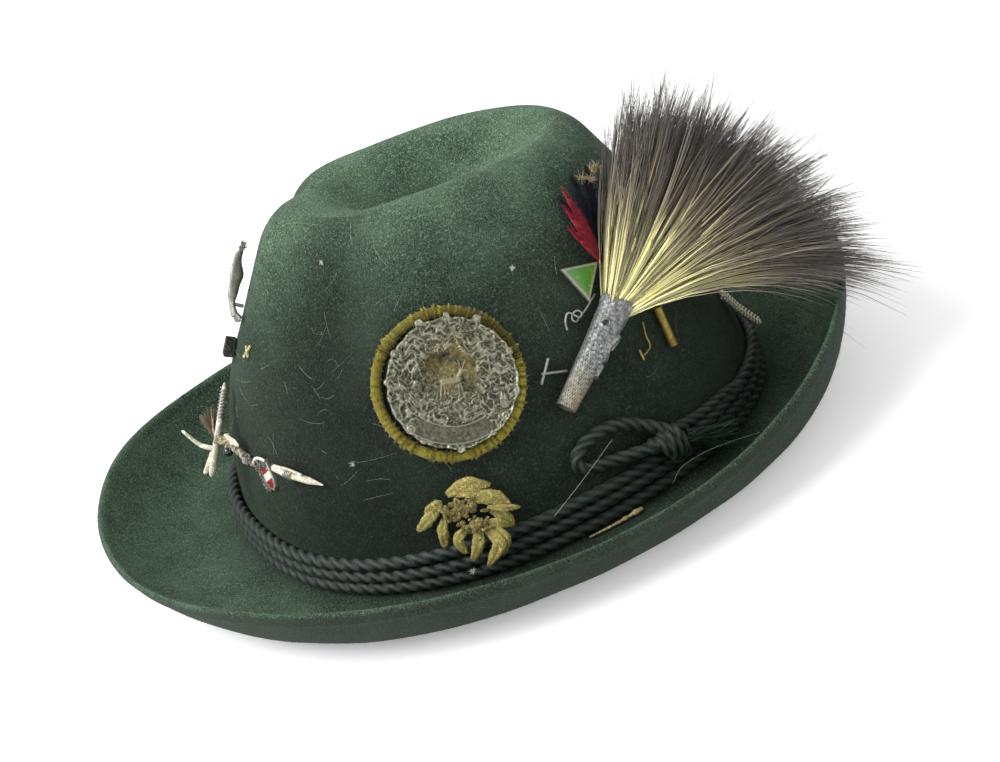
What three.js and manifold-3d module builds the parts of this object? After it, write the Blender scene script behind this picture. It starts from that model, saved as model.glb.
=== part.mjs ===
import * as THREE from "three";
import { mergeVertices } from "three/addons/utils/BufferGeometryUtils.js";
import Module from "manifold-3d";

const wasm = await Module();
wasm.setup();

// Felt, in mm. The front of the hat faces -Y and the wearer's left side +X.
const feltWall = 2.2;
const rootFront = 100;
const rootBack = 106;
const rootHalfWidth = 88;
const rootSquareness = 2.32;
const rootLift = 5.1;

// Crown: the crest is the ridge round the dent in the top.
const crestFront = 129.5;
const crestBack = 121.5;
const crestHalfFront = 57;
const crestHalfBack = 65;
const crestHalfWidth = 38.5;
const crestSquareness = 2.2;
const frontTaper = 2.1;
const backTaper = 1.64;
const sideTaper = 1.78;
const shoulderInset = 7;
const shoulderShare = 0.08;

// Dent in the top, and the two pinches at the front.
const dentDepth = 25;
const dentCentre = 6;
const pinchDepth = 0.17;
const pinchAngle = 36;
const pinchSpread = 20;
const pinchLevel = 0.86;
const pinchReach = 0.24;
const pinchDrop = 3;

// Brim
const brimWidth = 50;
const brimRise = 40;
const brimDip = 10.9;
const curlStart = 0.72;
const curlShift = 0.12;

// Angle from the front in degrees; width, edge and dip are shares of brimWidth, brimRise and brimDip.
const brimRows = [
  { angle: 0, width: 1.1, edge: 0.73, dip: 0.82 },
  { angle: 30, width: 0.97, edge: 0.78, dip: 0.83 },
  { angle: 60, width: 0.82, edge: 0.65, dip: 0.69 },
  { angle: 90, width: 0.8, edge: 0.58, dip: 0.59 },
  { angle: 120, width: 0.76, edge: 0.74, dip: 0.87 },
  { angle: 150, width: 0.8, edge: 1.09, dip: 1.05 },
  { angle: 180, width: 0.85, edge: 0.98, dip: 1.02 },
];

// Clearance between pieces that touch, and what the facets of round ones need on top of it
const seatGap = 0.3;
const roundEase = 0.3;

// Twisted cord round the foot of the crown; cordFoot is the middle of the lowest turn.
const cordRadius = 2.35;
const cordFoot = 7.5;
const loopPoints = [
  { angle: 99.5, level: 0.222, off: 0.6 },
  { angle: 96, level: 0.252, off: 0.5 },
  { angle: 92.5, level: 0.262, off: 0.5 },
  { angle: 89.3, level: 0.248, off: 0.5 },
  { angle: 87.6, level: 0.215, off: 0.5 },
  { angle: 88.6, level: 0.184, off: 0.6 },
  { angle: 92, level: 0.17, off: 1.2 },
  { angle: 96.5, level: 0.16, off: 3.6 },
];
const knotAngle = 103;
const knotLevel = 0.146;
const knotLift = 7.4;
const knotSize = 10.5;

// Opened end of the cord: turn is degrees past its head.
const tasselStart = 4.8;
const tasselRadius = 1.6;
const tasselRows = [
  { turn: 12, level: 0.15, off: 7.4 },
  { turn: 14, level: 0.115, off: 7.6 },
  { turn: 14.5, level: 0.08, off: 7.6 },
  { turn: 12, level: 0.045, off: 7.8 },
  { turn: 7, level: 0.03, off: 8 },
];

// Medal and its chenille ring
const medalAngle = 69;
const medalLevel = 0.55;
const medalTurn = -18;
const medalRadius = 24.6;
const medalBase = 1.6;
const medalBevel = 0.6;
const medalRimWidth = 3.2;
const medalRimHeight = 1.3;
const medalScrolls = 11;
const chenilleRadius = 24.8;
const chenilleWidth = 6;
const chenilleThickness = 3.2;
const chenilleEase = 0.15;

// Raised picture of the medal: corners are shares of its field, and heights are in mm.
const medalForms = [
  {
    name: "peaks", height: 0.5,
    corners: [[-0.9, -0.1], [-0.6, 0.3], [-0.42, 0.12], [-0.05, 0.62], [0.2, 0.3],
      [0.38, 0.52], [0.85, -0.05], [0.6, -0.3], [-0.6, -0.3]],
  },
  {
    name: "stag", height: 1.1,
    corners: [[-0.34, 0.02], [0.2, 0.06], [0.3, 0.3], [0.22, 0.5], [0.42, 0.44], [0.5, 0.34],
      [0.42, 0.08], [0.3, -0.36], [0.22, -0.36], [0.18, -0.14], [-0.2, -0.16], [-0.26, -0.4],
      [-0.34, -0.4], [-0.36, -0.14]],
  },
  { name: "left fir", height: 0.9, corners: [[-0.75, -0.36], [-0.62, -0.02], [-0.49, -0.36]] },
  { name: "right fir", height: 0.9, corners: [[0.54, -0.34], [0.66, -0.03], [0.78, -0.34]] },
  {
    name: "ribbon", height: 0.9,
    corners: [[-0.72, -0.66], [-0.4, -0.78], [0, -0.82], [0.4, -0.78], [0.72, -0.66],
      [0.62, -0.46], [0.3, -0.56], [0, -0.59], [-0.3, -0.56], [-0.62, -0.46]],
  },
];
const scrollFoot = 1.3;
const scrollTip = 0.7;

// Edelweiss: a petal turns from level towards the back of the side, and its tip stands out by tip.
const petalThickness = 2.4;
const edelweissHeads = [
  {
    angle: 60.5, level: 0.235, off: 2.5, knob: 4.2,
    petals: [
      { turn: 12, length: 12, width: 5.5, tip: 0.8 },
      { turn: 50, length: 9, width: 5, tip: 1 },
      { turn: 95, length: 9, width: 5, tip: 0 },
      { turn: 145, length: 10, width: 5.5, tip: 0.6 },
      { turn: 188, length: 13, width: 5, tip: 0.4 },
      { turn: 228, length: 12, width: 5.5, tip: 1.2 },
      { turn: 262, length: 12, width: 5, tip: 2.6 },
    ],
  },
  {
    angle: 66, level: 0.2, off: 2.8, knob: 3.8,
    petals: [
      { turn: 178, length: 9, width: 5, tip: 0 },
      { turn: 15, length: 13, width: 5.5, tip: -0.6 },
      { turn: 335, length: 10, width: 4.5, tip: 0.5 },
      { turn: 285, length: 15, width: 4.5, tip: 5.2 },
      { turn: 262, length: 15, width: 4, tip: 5.4 },
      { turn: 235, length: 9, width: 3.6, tip: 3.6 },
    ],
  },
];

// Dry stalk on the brim beside the lowest turn of cord
const stalkRadius = 0.9;
const stalkPoints = [
  { angle: 85.3, reach: 0.1, off: 0.5 },
  { angle: 89.8, reach: 0.105, off: 0.5 },
  { angle: 94, reach: 0.1, off: 0.5 },
];

// Brush: cast holder, hair fan (turns in degrees from the holder's axis), wire and pin
const holderFoot = { angle: 89, level: 0.37, off: 4.8 };
const holderMouth = { angle: 107, level: 0.55, off: 7.7 };
const holderFootRadius = 3.6;
const holderMouthRadius = 6.2;
const holderWall = 1;
const socketDepth = 5;
const holderLeafShift = 1.8;
const holderLeafWidth = 8;
const holderLeafThickness = 3.4;
const hairNeck = 14;
const hairLength = 90;
const hairGrowth = 0.33;
const hairThickness = 26;
const fanStart = -25;
const fanEnd = 50;
const hairLayers = [
  { locks: 8, reach: 1, inset: 0, rise: 0.3 },
  { locks: 6, reach: 0.95, inset: 7, rise: -0.3 },
];
const hairProfile = [
  { along: 0.03, width: 1, depth: 0.5 },
  { along: 0.38, width: 1.1, depth: 0.85 },
  { along: 0.78, width: 1.1, depth: 1.1 },
  { along: 1, width: 0.25, depth: 0.25 },
];
const wireRadius = 0.55;
const wirePoints = [
  { angle: 102.5, level: 0.62, off: 1.6 },
  { angle: 100.5, level: 0.6, off: 1.2 },
  { angle: 98.6, level: 0.575, off: 1.2 },
  { angle: 97.4, level: 0.6, off: 1.8 },
  { angle: 96, level: 0.565, off: 1 },
];
const pinStem = [
  { angle: 92, level: 0.455, off: 1.2 },
  { angle: 88, level: 0.48, off: 2.4 },
];
const pinHead = [
  { angle: 90, level: 0.51, off: 2.4 },
  { angle: 87.2, level: 0.455, off: 2.4 },
];

// Brass sleeve and its wire hook
const brassRadius = 1.65;
const brassWall = 0.5;
const brassPoints = [
  { angle: 116.5, level: 0.35, off: 2.1 },
  { angle: 118.5, level: 0.47, off: 2.1 },
];
const hookPoints = [
  { angle: 112.5, level: 0.47, off: 1 },
  { angle: 113, level: 0.42, off: 1.2 },
  { angle: 112.5, level: 0.385, off: 1.4 },
  { angle: 110.5, level: 0.375, off: 1 },
  { angle: 110, level: 0.4, off: 1 },
];

// Feathers: blades run from one root to a tip
const featherRoot = { angle: 112, level: 0.66 };
const featherWidth = 5;
const featherThickness = 1.2;
const redFeathers = [
  { angle: 116, level: 0.87, off: 2.8, width: 1 },
  { angle: 112.5, level: 0.83, off: 2.8, width: 1.1 },
  { angle: 109.5, level: 0.78, off: 2.8, width: 1 },
];
const darkFeathers = [
  { angle: 126, level: 0.9, off: 1.45, width: 1.3 },
  { angle: 119, level: 0.89, off: 1.45, width: 1.2 },
  { angle: 111, level: 0.84, off: 1.45, width: 1.2 },
];

// Enamel badges
const badgeThickness = 1.6;
const enamelDepth = 0.5;
const pennantAngle = 104.6;
const pennantLevel = 0.655;
const pennantLift = 2.5;
const pennantSide = 15.5;
const pennantTurn = 42;
const pennantField = 0.72;
const shieldPlace = { angle: 10.5, level: 0.325, off: 0 };
const shieldTurn = 35;
const shieldWidth = 6.4;
const shieldHeight = 12;

// Braided bar pin towards the back
const braidWidth = 5.2;
const braidThickness = 3;
const braidPoints = [
  { angle: 149, level: 0.3, off: 1.4 },
  { angle: 151, level: 0.22, off: 3.4 },
  { angle: 152, level: 0.14, off: 7.8 },
];

// Cast pin at the front, from its top down; depth and width are shares of the named sizes.
const figureDepth = 2.6;
const figureWidth = 1.5;
const figurePost = 0.8;
const figureRows = [
  { angle: -16, level: 0.87, off: 7, depth: 0.35, width: 0.5 },
  { angle: -16, level: 0.84, off: 7.6, depth: 0.7, width: 0.9 },
  { angle: -15, level: 0.8, off: 6, depth: 1, width: 1.1 },
  { angle: -13, level: 0.77, off: 5.4, depth: 0.8, width: 1 },
  { angle: -11, level: 0.74, off: 4.6, depth: 0.45, width: 0.8 },
  { angle: -9, level: 0.715, off: 2.6, depth: 0.5, width: 0.8 },
];
const figureToe = { angle: -4, level: 0.725, off: 1.9 };
const figureBootWidth = 3.2;
const figureBootHeight = 2.6;
const wedgeThickness = 4;
const wedgePlace = { angle: -12, level: 0.62, turn: 10 };
const wedgeCorners = [[-4, -4.2], [3.6, -3.4], [2.4, 4], [-0.8, 3.6]];
const crossPlace = { angle: 1.2, level: 0.655, off: 0.4 };
const crossWidth = 1.1;
const crossThickness = 0.8;
const crossBars = [
  { turn: 50, length: 7.4 },
  { turn: 120, length: 4.6 },
];

// Alpine badge at the front
const stickRadius = 1.15;
const twigRadius = 1.5;
const beadRadius = 1.7;
const longStick = [
  { angle: -8, level: 0.53, off: 3.6 },
  { angle: -5, level: 0.43, off: 7 },
  { angle: -2, level: 0.29, off: 14 },
];
const curvedStick = [
  { angle: -3.5, level: 0.36, off: 10.4 },
  { angle: -5.5, level: 0.37, off: 15 },
  { angle: -7, level: 0.41, off: 20.6 },
];
const shortStick = [
  { angle: -3.6, level: 0.352, off: 11.2 },
  { angle: -3, level: 0.295, off: 15.6 },
];
const twigPath = [
  { angle: -3.8, level: 0.385, off: 9.6 },
  { angle: -2, level: 0.38, off: 6 },
  { angle: 1, level: 0.345, off: 2 },
  { angle: 4, level: 0.335, off: 1 },
];
const forkPath = [
  { angle: -2, level: 0.38, off: 6.4 },
  { angle: -3, level: 0.4, off: 4.6 },
];
const bristleThickness = 1.2;
const bristleRoot = { angle: -4.9, level: 0.385, off: 9.4 };
const bristleRows = [
  { angle: -8.4, level: 0.445, off: 6.5, width: 4.4 },
  { angle: -8.4, level: 0.45, off: 10, width: 2 },
  { angle: -8.3, level: 0.43, off: 13, width: 2 },
];
const beadPlace = { angle: -2, level: 0.35, off: 6 };

// Pointed shaft with its binding, beside the shield
const axeRadius = 1.35;
const axePath = [
  { angle: 13.5, level: 0.365, off: 1.8 },
  { angle: 20, level: 0.36, off: 2 },
  { angle: 31, level: 0.345, off: 2.2 },
];
const rodPath = [
  { angle: 15, level: 0.374, off: 2.8 },
  { angle: 20, level: 0.378, off: 2.9 },
  { angle: 25, level: 0.369, off: 2.8 },
];
const bindingPath = [
  { angle: 19, level: 0.362, off: 2.2 },
  { angle: 21.5, level: 0.36, off: 2.2 },
];

const radians = THREE.MathUtils.degToRad;

function signedPower(value, exponent) {
  return Math.sign(value) * Math.abs(value) ** exponent;
}

// Angle folded to 0..180 degrees, because the two sides of the hat are alike.
function foldedAngle(angle) {
  const turned = THREE.MathUtils.euclideanModulo(angle, 360);
  return turned > 180 ? 360 - turned : turned;
}

// Smooth curve through the rows of the brim table, level at the front and at the back.
function brimValue(angle, column) {
  const step = brimRows[1].angle - brimRows[0].angle;
  const place = foldedAngle(angle) / step;
  const last = brimRows.length - 1;
  const index = Math.min(Math.floor(place), last - 1);
  const share = place - index;
  const before = brimRows[Math.abs(index - 1)][column];
  const start = brimRows[index][column];
  const end = brimRows[index + 1][column];
  const after = brimRows[index + 2 > last ? last - 1 : index + 2][column];
  const startSlope = (end - before) / 2;
  const endSlope = (after - start) / 2;
  const square = share * share;
  const cube = square * share;
  return start * (2 * cube - 3 * square + 1) + startSlope * (cube - 2 * square + share)
    + end * (3 * square - 2 * cube) + endSlope * (cube - square);
}

// Point of a squared oval whose two ends differ.
function ovalPoint(angle, front, back, halfWidth, squareness, height) {
  const sine = Math.sin(radians(angle));
  const cosine = Math.cos(radians(angle));
  const exponent = 2 / squareness;
  const halfLength = cosine > 0 ? front : back;
  return new THREE.Vector3(
    halfWidth * signedPower(sine, exponent),
    -halfLength * signedPower(cosine, exponent),
    height,
  );
}

function rootPoint(angle) {
  return ovalPoint(angle, rootFront, rootBack, rootHalfWidth, rootSquareness, rootLift);
}

// Level direction away from the crown's foot.
function rootOutward(angle) {
  const step = 0.5;
  const along = rootPoint(angle + step).sub(rootPoint(angle - step));
  return new THREE.Vector3(-along.y, along.x, 0).normalize().negate();
}

// How far round a point is from the middle of a pinch, in spreads.
function pinchBell(angle) {
  const away = (foldedAngle(angle) - pinchAngle) / pinchSpread;
  return Math.exp(-away * away);
}

function crestHeight(angle) {
  const middle = (crestFront + crestBack) / 2;
  const swing = (crestFront - crestBack) / 2;
  return middle + swing * Math.cos(radians(angle)) - pinchDrop * pinchBell(angle);
}

// Wall of the crown: level 0 is the foot and level 1 the crest.
function wallPoint(angle, level) {
  const front = THREE.MathUtils.lerp(rootFront, crestHalfFront, level ** frontTaper);
  const back = THREE.MathUtils.lerp(rootBack, crestHalfBack, level ** backTaper);
  const halfWidth = THREE.MathUtils.lerp(rootHalfWidth, crestHalfWidth, level ** sideTaper);
  const squareness = THREE.MathUtils.lerp(rootSquareness, crestSquareness, level);
  const height = THREE.MathUtils.lerp(rootLift, crestHeight(angle), level);
  const point = ovalPoint(angle, front, back, halfWidth, squareness, height);
  const depth = (level - pinchLevel) / pinchReach;
  const pinch = 1 - pinchDepth * pinchBell(angle) * Math.exp(-depth * depth);
  const rounding = Math.max(0, (level - 1 + shoulderShare) / shoulderShare);
  const inset = shoulderInset * (1 - Math.sqrt(1 - rounding * rounding));
  const reach = Math.hypot(point.x, point.y);
  const scale = pinch * (1 - inset / reach);
  return new THREE.Vector3(point.x * scale, point.y * scale, point.z);
}

// Top of the crown: reach 1 is the crest and reach 0 the middle of the dent.
function topPoint(angle, reach) {
  const crest = wallPoint(angle, 1);
  const floor = (crestFront + crestBack) / 2 - dentDepth;
  const bump = (1 - Math.cos(Math.PI * reach)) / 2;
  return new THREE.Vector3(
    crest.x * reach,
    dentCentre + (crest.y - dentCentre) * reach,
    THREE.MathUtils.lerp(floor, crest.z, bump),
  );
}

// Upper face of the brim: reach 0 is the foot of the crown and reach 1 the edge.
function brimPoint(angle, reach) {
  const width = brimWidth * brimValue(angle, "width");
  const edge = brimRise * brimValue(angle, "edge");
  const dip = -brimDip * brimValue(angle, "dip");
  const control = curlStart - curlShift * Math.cos(radians(angle));
  const first = (1 - reach) * (1 - reach);
  const second = 2 * reach * (1 - reach);
  const third = reach * reach;
  const point = rootPoint(angle);
  point.addScaledVector(rootOutward(angle), width * (second * control + third));
  point.z = first * rootLift + second * dip + third * edge;
  return point;
}

function wallNormal(angle, level) {
  const turn = 0.5;
  const step = 0.004;
  const low = Math.max(level - step, 0);
  const along = wallPoint(angle + turn, level).sub(wallPoint(angle - turn, level));
  const up = wallPoint(angle, low + 2 * step).sub(wallPoint(angle, low));
  return along.cross(up).normalize();
}

// Point that stands out from the crown wall by lift.
function onWall(angle, level, lift) {
  return wallPoint(angle, level).addScaledVector(wallNormal(angle, level), lift);
}

// Place on the wall: x runs level towards the back of the left side, y up the wall, z out of it.
function wallFrame(angle, level, lift, turn = 0) {
  const outward = wallNormal(angle, level);
  const along = new THREE.Vector3(-outward.y, outward.x, 0).normalize();
  const up = new THREE.Vector3().crossVectors(outward, along);
  const frame = new THREE.Matrix4().makeBasis(along, up, outward);
  frame.setPosition(onWall(angle, level, lift));
  return frame.multiply(new THREE.Matrix4().makeRotationZ(radians(turn)));
}

// How far out a point is: 1 on the crown wall, more outside it.
function crownRatio(point) {
  let angle = THREE.MathUtils.radToDeg(Math.atan2(point.x / rootHalfWidth, -point.y / rootFront));
  let level = 0;
  for (let round = 0; round < 6; round += 1) {
    level = THREE.MathUtils.clamp((point.z - rootLift) / (crestHeight(angle) - rootLift), 0, 0.9);
    const wall = wallPoint(angle, level);
    const turned = Math.atan2(point.x, -point.y) - Math.atan2(wall.x, -wall.y);
    angle += THREE.MathUtils.radToDeg(Math.atan2(Math.sin(turned), Math.cos(turned)));
  }
  const wall = wallPoint(angle, level);
  return Math.hypot(point.x, point.y) / Math.hypot(wall.x, wall.y);
}

// The wall straight below a point that hangs over it, seen along a direction.
function dropOnWall(point, outward) {
  let near = -20;
  let far = 20;
  for (let round = 0; round < 30; round += 1) {
    const middle = (near + far) / 2;
    if (crownRatio(point.clone().addScaledVector(outward, middle)) < 1) {
      near = middle;
    } else {
      far = middle;
    }
  }
  return point.clone().addScaledVector(outward, far);
}

function signedVolume(positions, faces) {
  const corner = (index) => new THREE.Vector3().fromArray(positions, 3 * index);
  let volume = 0;
  for (let face = 0; face < faces.length; face += 3) {
    const first = corner(faces[face]);
    const second = corner(faces[face + 1]);
    const third = corner(faces[face + 2]);
    volume += first.dot(second.cross(third)) / 6;
  }
  return volume;
}

// Closed geometry from points and faces, turned so that its faces point out.
function closedGeometry(points, faces) {
  const positions = points.flatMap((point) => point.toArray());
  if (signedVolume(positions, faces) < 0) {
    for (let face = 0; face < faces.length; face += 3) {
      [faces[face + 1], faces[face + 2]] = [faces[face + 2], faces[face + 1]];
    }
  }
  const geometry = new THREE.BufferGeometry();
  geometry.setAttribute("position", new THREE.Float32BufferAttribute(positions, 3));
  geometry.setIndex(faces);
  return geometry;
}

// Rows of points joined by faces; a closed loft joins its last row to its first,
// and an open one is shut by a fan at each end.
function loft(rows, closed = false) {
  const sides = rows[0].length;
  const points = rows.flat();
  const faces = [];
  const spans = closed ? rows.length : rows.length - 1;
  for (let row = 0; row < spans; row += 1) {
    const next = (row + 1) % rows.length;
    for (let side = 0; side < sides; side += 1) {
      const after = (side + 1) % sides;
      const corners = [row * sides + side, row * sides + after, next * sides + after, next * sides + side];
      faces.push(corners[0], corners[1], corners[2], corners[0], corners[2], corners[3]);
    }
  }
  if (!closed) {
    const middle = (row) => row.reduce((sum, point) => sum.add(point), new THREE.Vector3())
      .divideScalar(sides);
    const start = points.push(middle(rows[0])) - 1;
    const end = points.push(middle(rows[rows.length - 1])) - 1;
    const last = (rows.length - 1) * sides;
    for (let side = 0; side < sides; side += 1) {
      const after = (side + 1) % sides;
      faces.push(start, after, side);
      faces.push(end, last + side, last + after);
    }
  }
  return closedGeometry(points, faces);
}

// Sweep of an oval section: each station has a centre, an outward direction,
// a half width across it and a half height along it.
function sweep(stations, sides, closed = false) {
  const count = stations.length;
  const rows = stations.map((station, index) => {
    const before = stations[closed ? (index - 1 + count) % count : Math.max(index - 1, 0)];
    const after = stations[closed ? (index + 1) % count : Math.min(index + 1, count - 1)];
    const along = after.centre.clone().sub(before.centre).normalize();
    const across = new THREE.Vector3().crossVectors(along, station.outward).normalize();
    const outward = new THREE.Vector3().crossVectors(across, along);
    return Array.from({ length: sides }, (_, side) => {
      const turn = (2 * Math.PI * (side + 0.5)) / sides;
      return station.centre.clone()
        .addScaledVector(across, station.width * Math.cos(turn))
        .addScaledVector(outward, station.height * Math.sin(turn));
    });
  });
  return loft(rows, closed);
}

// Round bar along a smooth curve through a few points, thinned by a function of its share.
function bar(points, radius, outward, { sides = 6, steps = 10, thin = () => 1 } = {}) {
  const curve = new THREE.CatmullRomCurve3(points);
  const stations = Array.from({ length: steps + 1 }, (_, step) => {
    const share = step / steps;
    const size = radius * thin(share);
    return { centre: curve.getPoint(share), outward, width: size, height: size };
  });
  return sweep(stations, sides);
}

// Leaf shape between two points: width and height grow and fade along it.
function leaf(start, end, outward, width, height, { sides = 5, steps = 3, blunt = 0.6 } = {}) {
  const stations = Array.from({ length: steps + 1 }, (_, step) => {
    const share = step / steps;
    const swell = Math.max(Math.sin(Math.PI * (0.12 + 0.83 * share)) ** blunt, 0.2);
    return {
      centre: start.clone().lerp(end, share),
      outward,
      width: (width / 2) * swell,
      height: (height / 2) * swell,
    };
  });
  return sweep(stations, sides);
}

// Flat plate with a chamfered edge, cut to an outline in its own plane.
function plate(outline, thickness, bevel = 0.25) {
  const shape = new THREE.Shape(outline.map(([x, y]) => new THREE.Vector2(x, y)));
  return new THREE.ExtrudeGeometry(shape, {
    depth: thickness - 2 * bevel,
    bevelEnabled: bevel > 0,
    bevelThickness: bevel,
    bevelSize: bevel,
    bevelOffset: -bevel,
    bevelSegments: 1,
    steps: 1,
  }).translate(0, 0, bevel);
}

function toSolid(geometry) {
  const bare = geometry.clone();
  bare.deleteAttribute("normal");
  bare.deleteAttribute("uv");
  const merged = mergeVertices(bare, 1e-4);
  const faces = [];
  for (let face = 0; face < merged.index.count; face += 3) {
    const corners = [0, 1, 2].map((corner) => merged.index.getX(face + corner));
    if (new Set(corners).size === 3) {
      faces.push(...corners);
    }
  }
  return new wasm.Manifold(new wasm.Mesh({
    numProp: 3,
    vertProperties: Float32Array.from(merged.attributes.position.array),
    triVerts: Uint32Array.from(faces),
  }));
}

function fromSolid(solid) {
  const mesh = solid.getMesh();
  const geometry = new THREE.BufferGeometry();
  geometry.setAttribute("position", new THREE.Float32BufferAttribute(mesh.vertProperties, 3));
  geometry.setIndex(Array.from(mesh.triVerts));
  return geometry;
}

function fuse(geometries) {
  return fromSolid(geometries.map(toSolid).reduce((sum, solid) => sum.add(solid)));
}

function cut(geometry, tool) {
  return fromSolid(toSolid(geometry).subtract(toSolid(tool)));
}

const hat = new THREE.Group();

function addPiece(name, geometry, color, roughness, metalness = 0) {
  const mesh = new THREE.Mesh(geometry, new THREE.MeshStandardMaterial({ color, roughness, metalness }));
  mesh.name = name;
  hat.add(mesh);
}

// Crown and brim are one shell: an upper face, and an under face one felt wall inside it
// that is pressed flat where the brim rests.
function buildFelt() {
  const columns = 44;
  const topReaches = [0.35, 0.62, 0.84];
  const wallLevels = [1, 0.98, 0.94, 0.87, 0.77, 0.63, 0.46, 0.25, 0];
  const brimReaches = [0.09, 0.2, 0.35, 0.52, 0.68, 0.84, 1];
  const angles = Array.from({ length: columns }, (_, column) => (360 * column) / columns);
  const rows = [
    ...topReaches.map((reach) => angles.map((angle) => topPoint(angle, reach))),
    ...wallLevels.map((level) => angles.map((angle) => wallPoint(angle, level))),
    ...brimReaches.map((reach) => angles.map((angle) => brimPoint(angle, reach))),
  ];
  const upper = [topPoint(0, 0), ...rows.flat()];
  const faces = [];
  for (let column = 0; column < columns; column += 1) {
    const after = (column + 1) % columns;
    faces.push(0, 1 + column, 1 + after);
    for (let row = 0; row < rows.length - 1; row += 1) {
      const start = 1 + row * columns;
      const next = start + columns;
      faces.push(start + column, next + column, next + after);
      faces.push(start + column, next + after, start + after);
    }
  }
  const skin = new THREE.BufferGeometry();
  const positions = upper.flatMap((point) => point.toArray());
  skin.setAttribute("position", new THREE.Float32BufferAttribute(positions, 3));
  skin.setIndex(faces);
  skin.computeVertexNormals();
  const under = upper.map((point, index) => {
    const normal = new THREE.Vector3().fromBufferAttribute(skin.attributes.normal, index);
    const inside = point.clone().addScaledVector(normal, -feltWall);
    inside.z = Math.max(inside.z, 0);
    return inside;
  });
  const shell = [...faces];
  for (let index = 0; index < faces.length; index += 3) {
    shell.push(upper.length + faces[index], upper.length + faces[index + 2], upper.length + faces[index + 1]);
  }
  const edge = 1 + (rows.length - 1) * columns;
  for (let column = 0; column < columns; column += 1) {
    const after = (column + 1) % columns;
    const corners = [edge + column, edge + after];
    shell.push(corners[0], upper.length + corners[0], upper.length + corners[1]);
    shell.push(corners[0], upper.length + corners[1], corners[1]);
  }
  addPiece("felt_body", closedGeometry([...upper, ...under], shell), 0x2d463c, 0.95);
}

// A turn of cord lies against the foot of the crown, its middle at a height above the floor.
function cordCentre(angle, height) {
  const level = (height - rootLift) / (crestHeight(angle) - rootLift);
  return wallPoint(angle, level).addScaledVector(rootOutward(angle), cordRadius + seatGap + roundEase);
}

function buildCordTurns() {
  const steps = 30;
  const sides = 8;
  ["cord_lower", "cord_middle", "cord_upper"].forEach((name, turn) => {
    const height = cordFoot + turn * (2 * cordRadius + seatGap);
    const stations = Array.from({ length: steps }, (_, step) => {
      const angle = (360 * step) / steps;
      return {
        centre: cordCentre(angle, height),
        outward: rootOutward(angle),
        width: cordRadius,
        height: cordRadius,
      };
    });
    addPiece(name, sweep(stations, sides, true), 0x22362f, 0.7);
  });
}

function buildCordLoop() {
  const points = loopPoints.map((row) => onWall(row.angle, row.level, cordRadius + row.off));
  const outward = wallNormal(loopPoints[0].angle, loopPoints[0].level);
  addPiece("cord_loop", bar(points, cordRadius, outward, { sides: 8, steps: 16 }), 0x22362f, 0.7);
}

// The knot is a short fat barrel of two crossed turns.
function buildKnot() {
  const frame = wallFrame(knotAngle, knotLevel, knotLift);
  const turns = [[-20, -1], [35, 1]].map(([turn, side]) => {
    const tilt = radians(turn);
    const reach = new THREE.Vector3(Math.sin(tilt), Math.cos(tilt), 0).multiplyScalar(knotSize / 2);
    const aside = new THREE.Vector3((side * knotSize) / 5, 0, 0);
    return leaf(aside.clone().sub(reach), aside.clone().add(reach), new THREE.Vector3(0, 0, 1),
      knotSize * 0.62, knotSize * 0.78, { sides: 8, steps: 5 });
  });
  addPiece("cord_knot", fuse(turns).applyMatrix4(frame), 0x22362f, 0.7);
}

// The opened end of the cord: a head and five strands that spread towards the back.
function buildTassel() {
  const outward = wallNormal(knotAngle, knotLevel);
  const head = onWall(knotAngle + tasselStart, knotLevel, knotLift);
  const strands = tasselRows.map((row) => {
    const end = onWall(knotAngle + tasselStart + row.turn, row.level, row.off);
    return bar([head, head.clone().lerp(end, 0.5), end], tasselRadius, outward,
      { sides: 5, steps: 2, thin: (share) => 1.15 - 0.6 * share });
  });
  addPiece("cord_tassel", fuse(strands), 0x2a4238, 0.8);
}

// Chenille ring pressed between the medal's edge and the felt, following the wall.
function chenilleStations() {
  const frame = wallFrame(medalAngle, medalLevel, 0);
  const outward = wallNormal(medalAngle, medalLevel);
  const steps = 28;
  return Array.from({ length: steps }, (_, step) => {
    const turn = (2 * Math.PI * step) / steps;
    const flat = new THREE.Vector3(Math.cos(turn), Math.sin(turn), 0).multiplyScalar(chenilleRadius);
    const wall = dropOnWall(flat.applyMatrix4(frame), outward);
    const half = chenilleThickness / 2;
    const lift = half + seatGap + chenilleEase;
    return { centre: wall.addScaledVector(outward, lift), outward, width: chenilleWidth / 2, height: half };
  });
}

function buildMedal() {
  const stations = chenilleStations();
  addPiece("medal_chenille", sweep(stations, 6, true), 0x787020, 0.9);
  const base = wallPoint(medalAngle, medalLevel);
  const outward = wallNormal(medalAngle, medalLevel);
  const crest = Math.max(...stations.map((station) => station.centre.clone().sub(base).dot(outward)));
  const frame = wallFrame(medalAngle, medalLevel, crest + chenilleThickness / 2 + seatGap, medalTurn);
  const rim = medalRadius - medalRimWidth;
  const profile = [
    [0, 0], [medalRadius - medalBevel, 0], [medalRadius, medalBevel], [medalRadius, medalBase],
    [medalRadius - medalRimWidth / 2, medalBase + medalRimHeight], [rim, medalBase], [0, medalBase],
  ].map(([x, y]) => new THREE.Vector2(x, y));
  const disc = new THREE.LatheGeometry(profile, 22).rotateX(Math.PI / 2);
  const relief = medalRelief();
  addPiece("medal", fuse([disc, ...relief]).applyMatrix4(frame), 0x6e695a, 0.55, 0.8);
}

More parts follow.
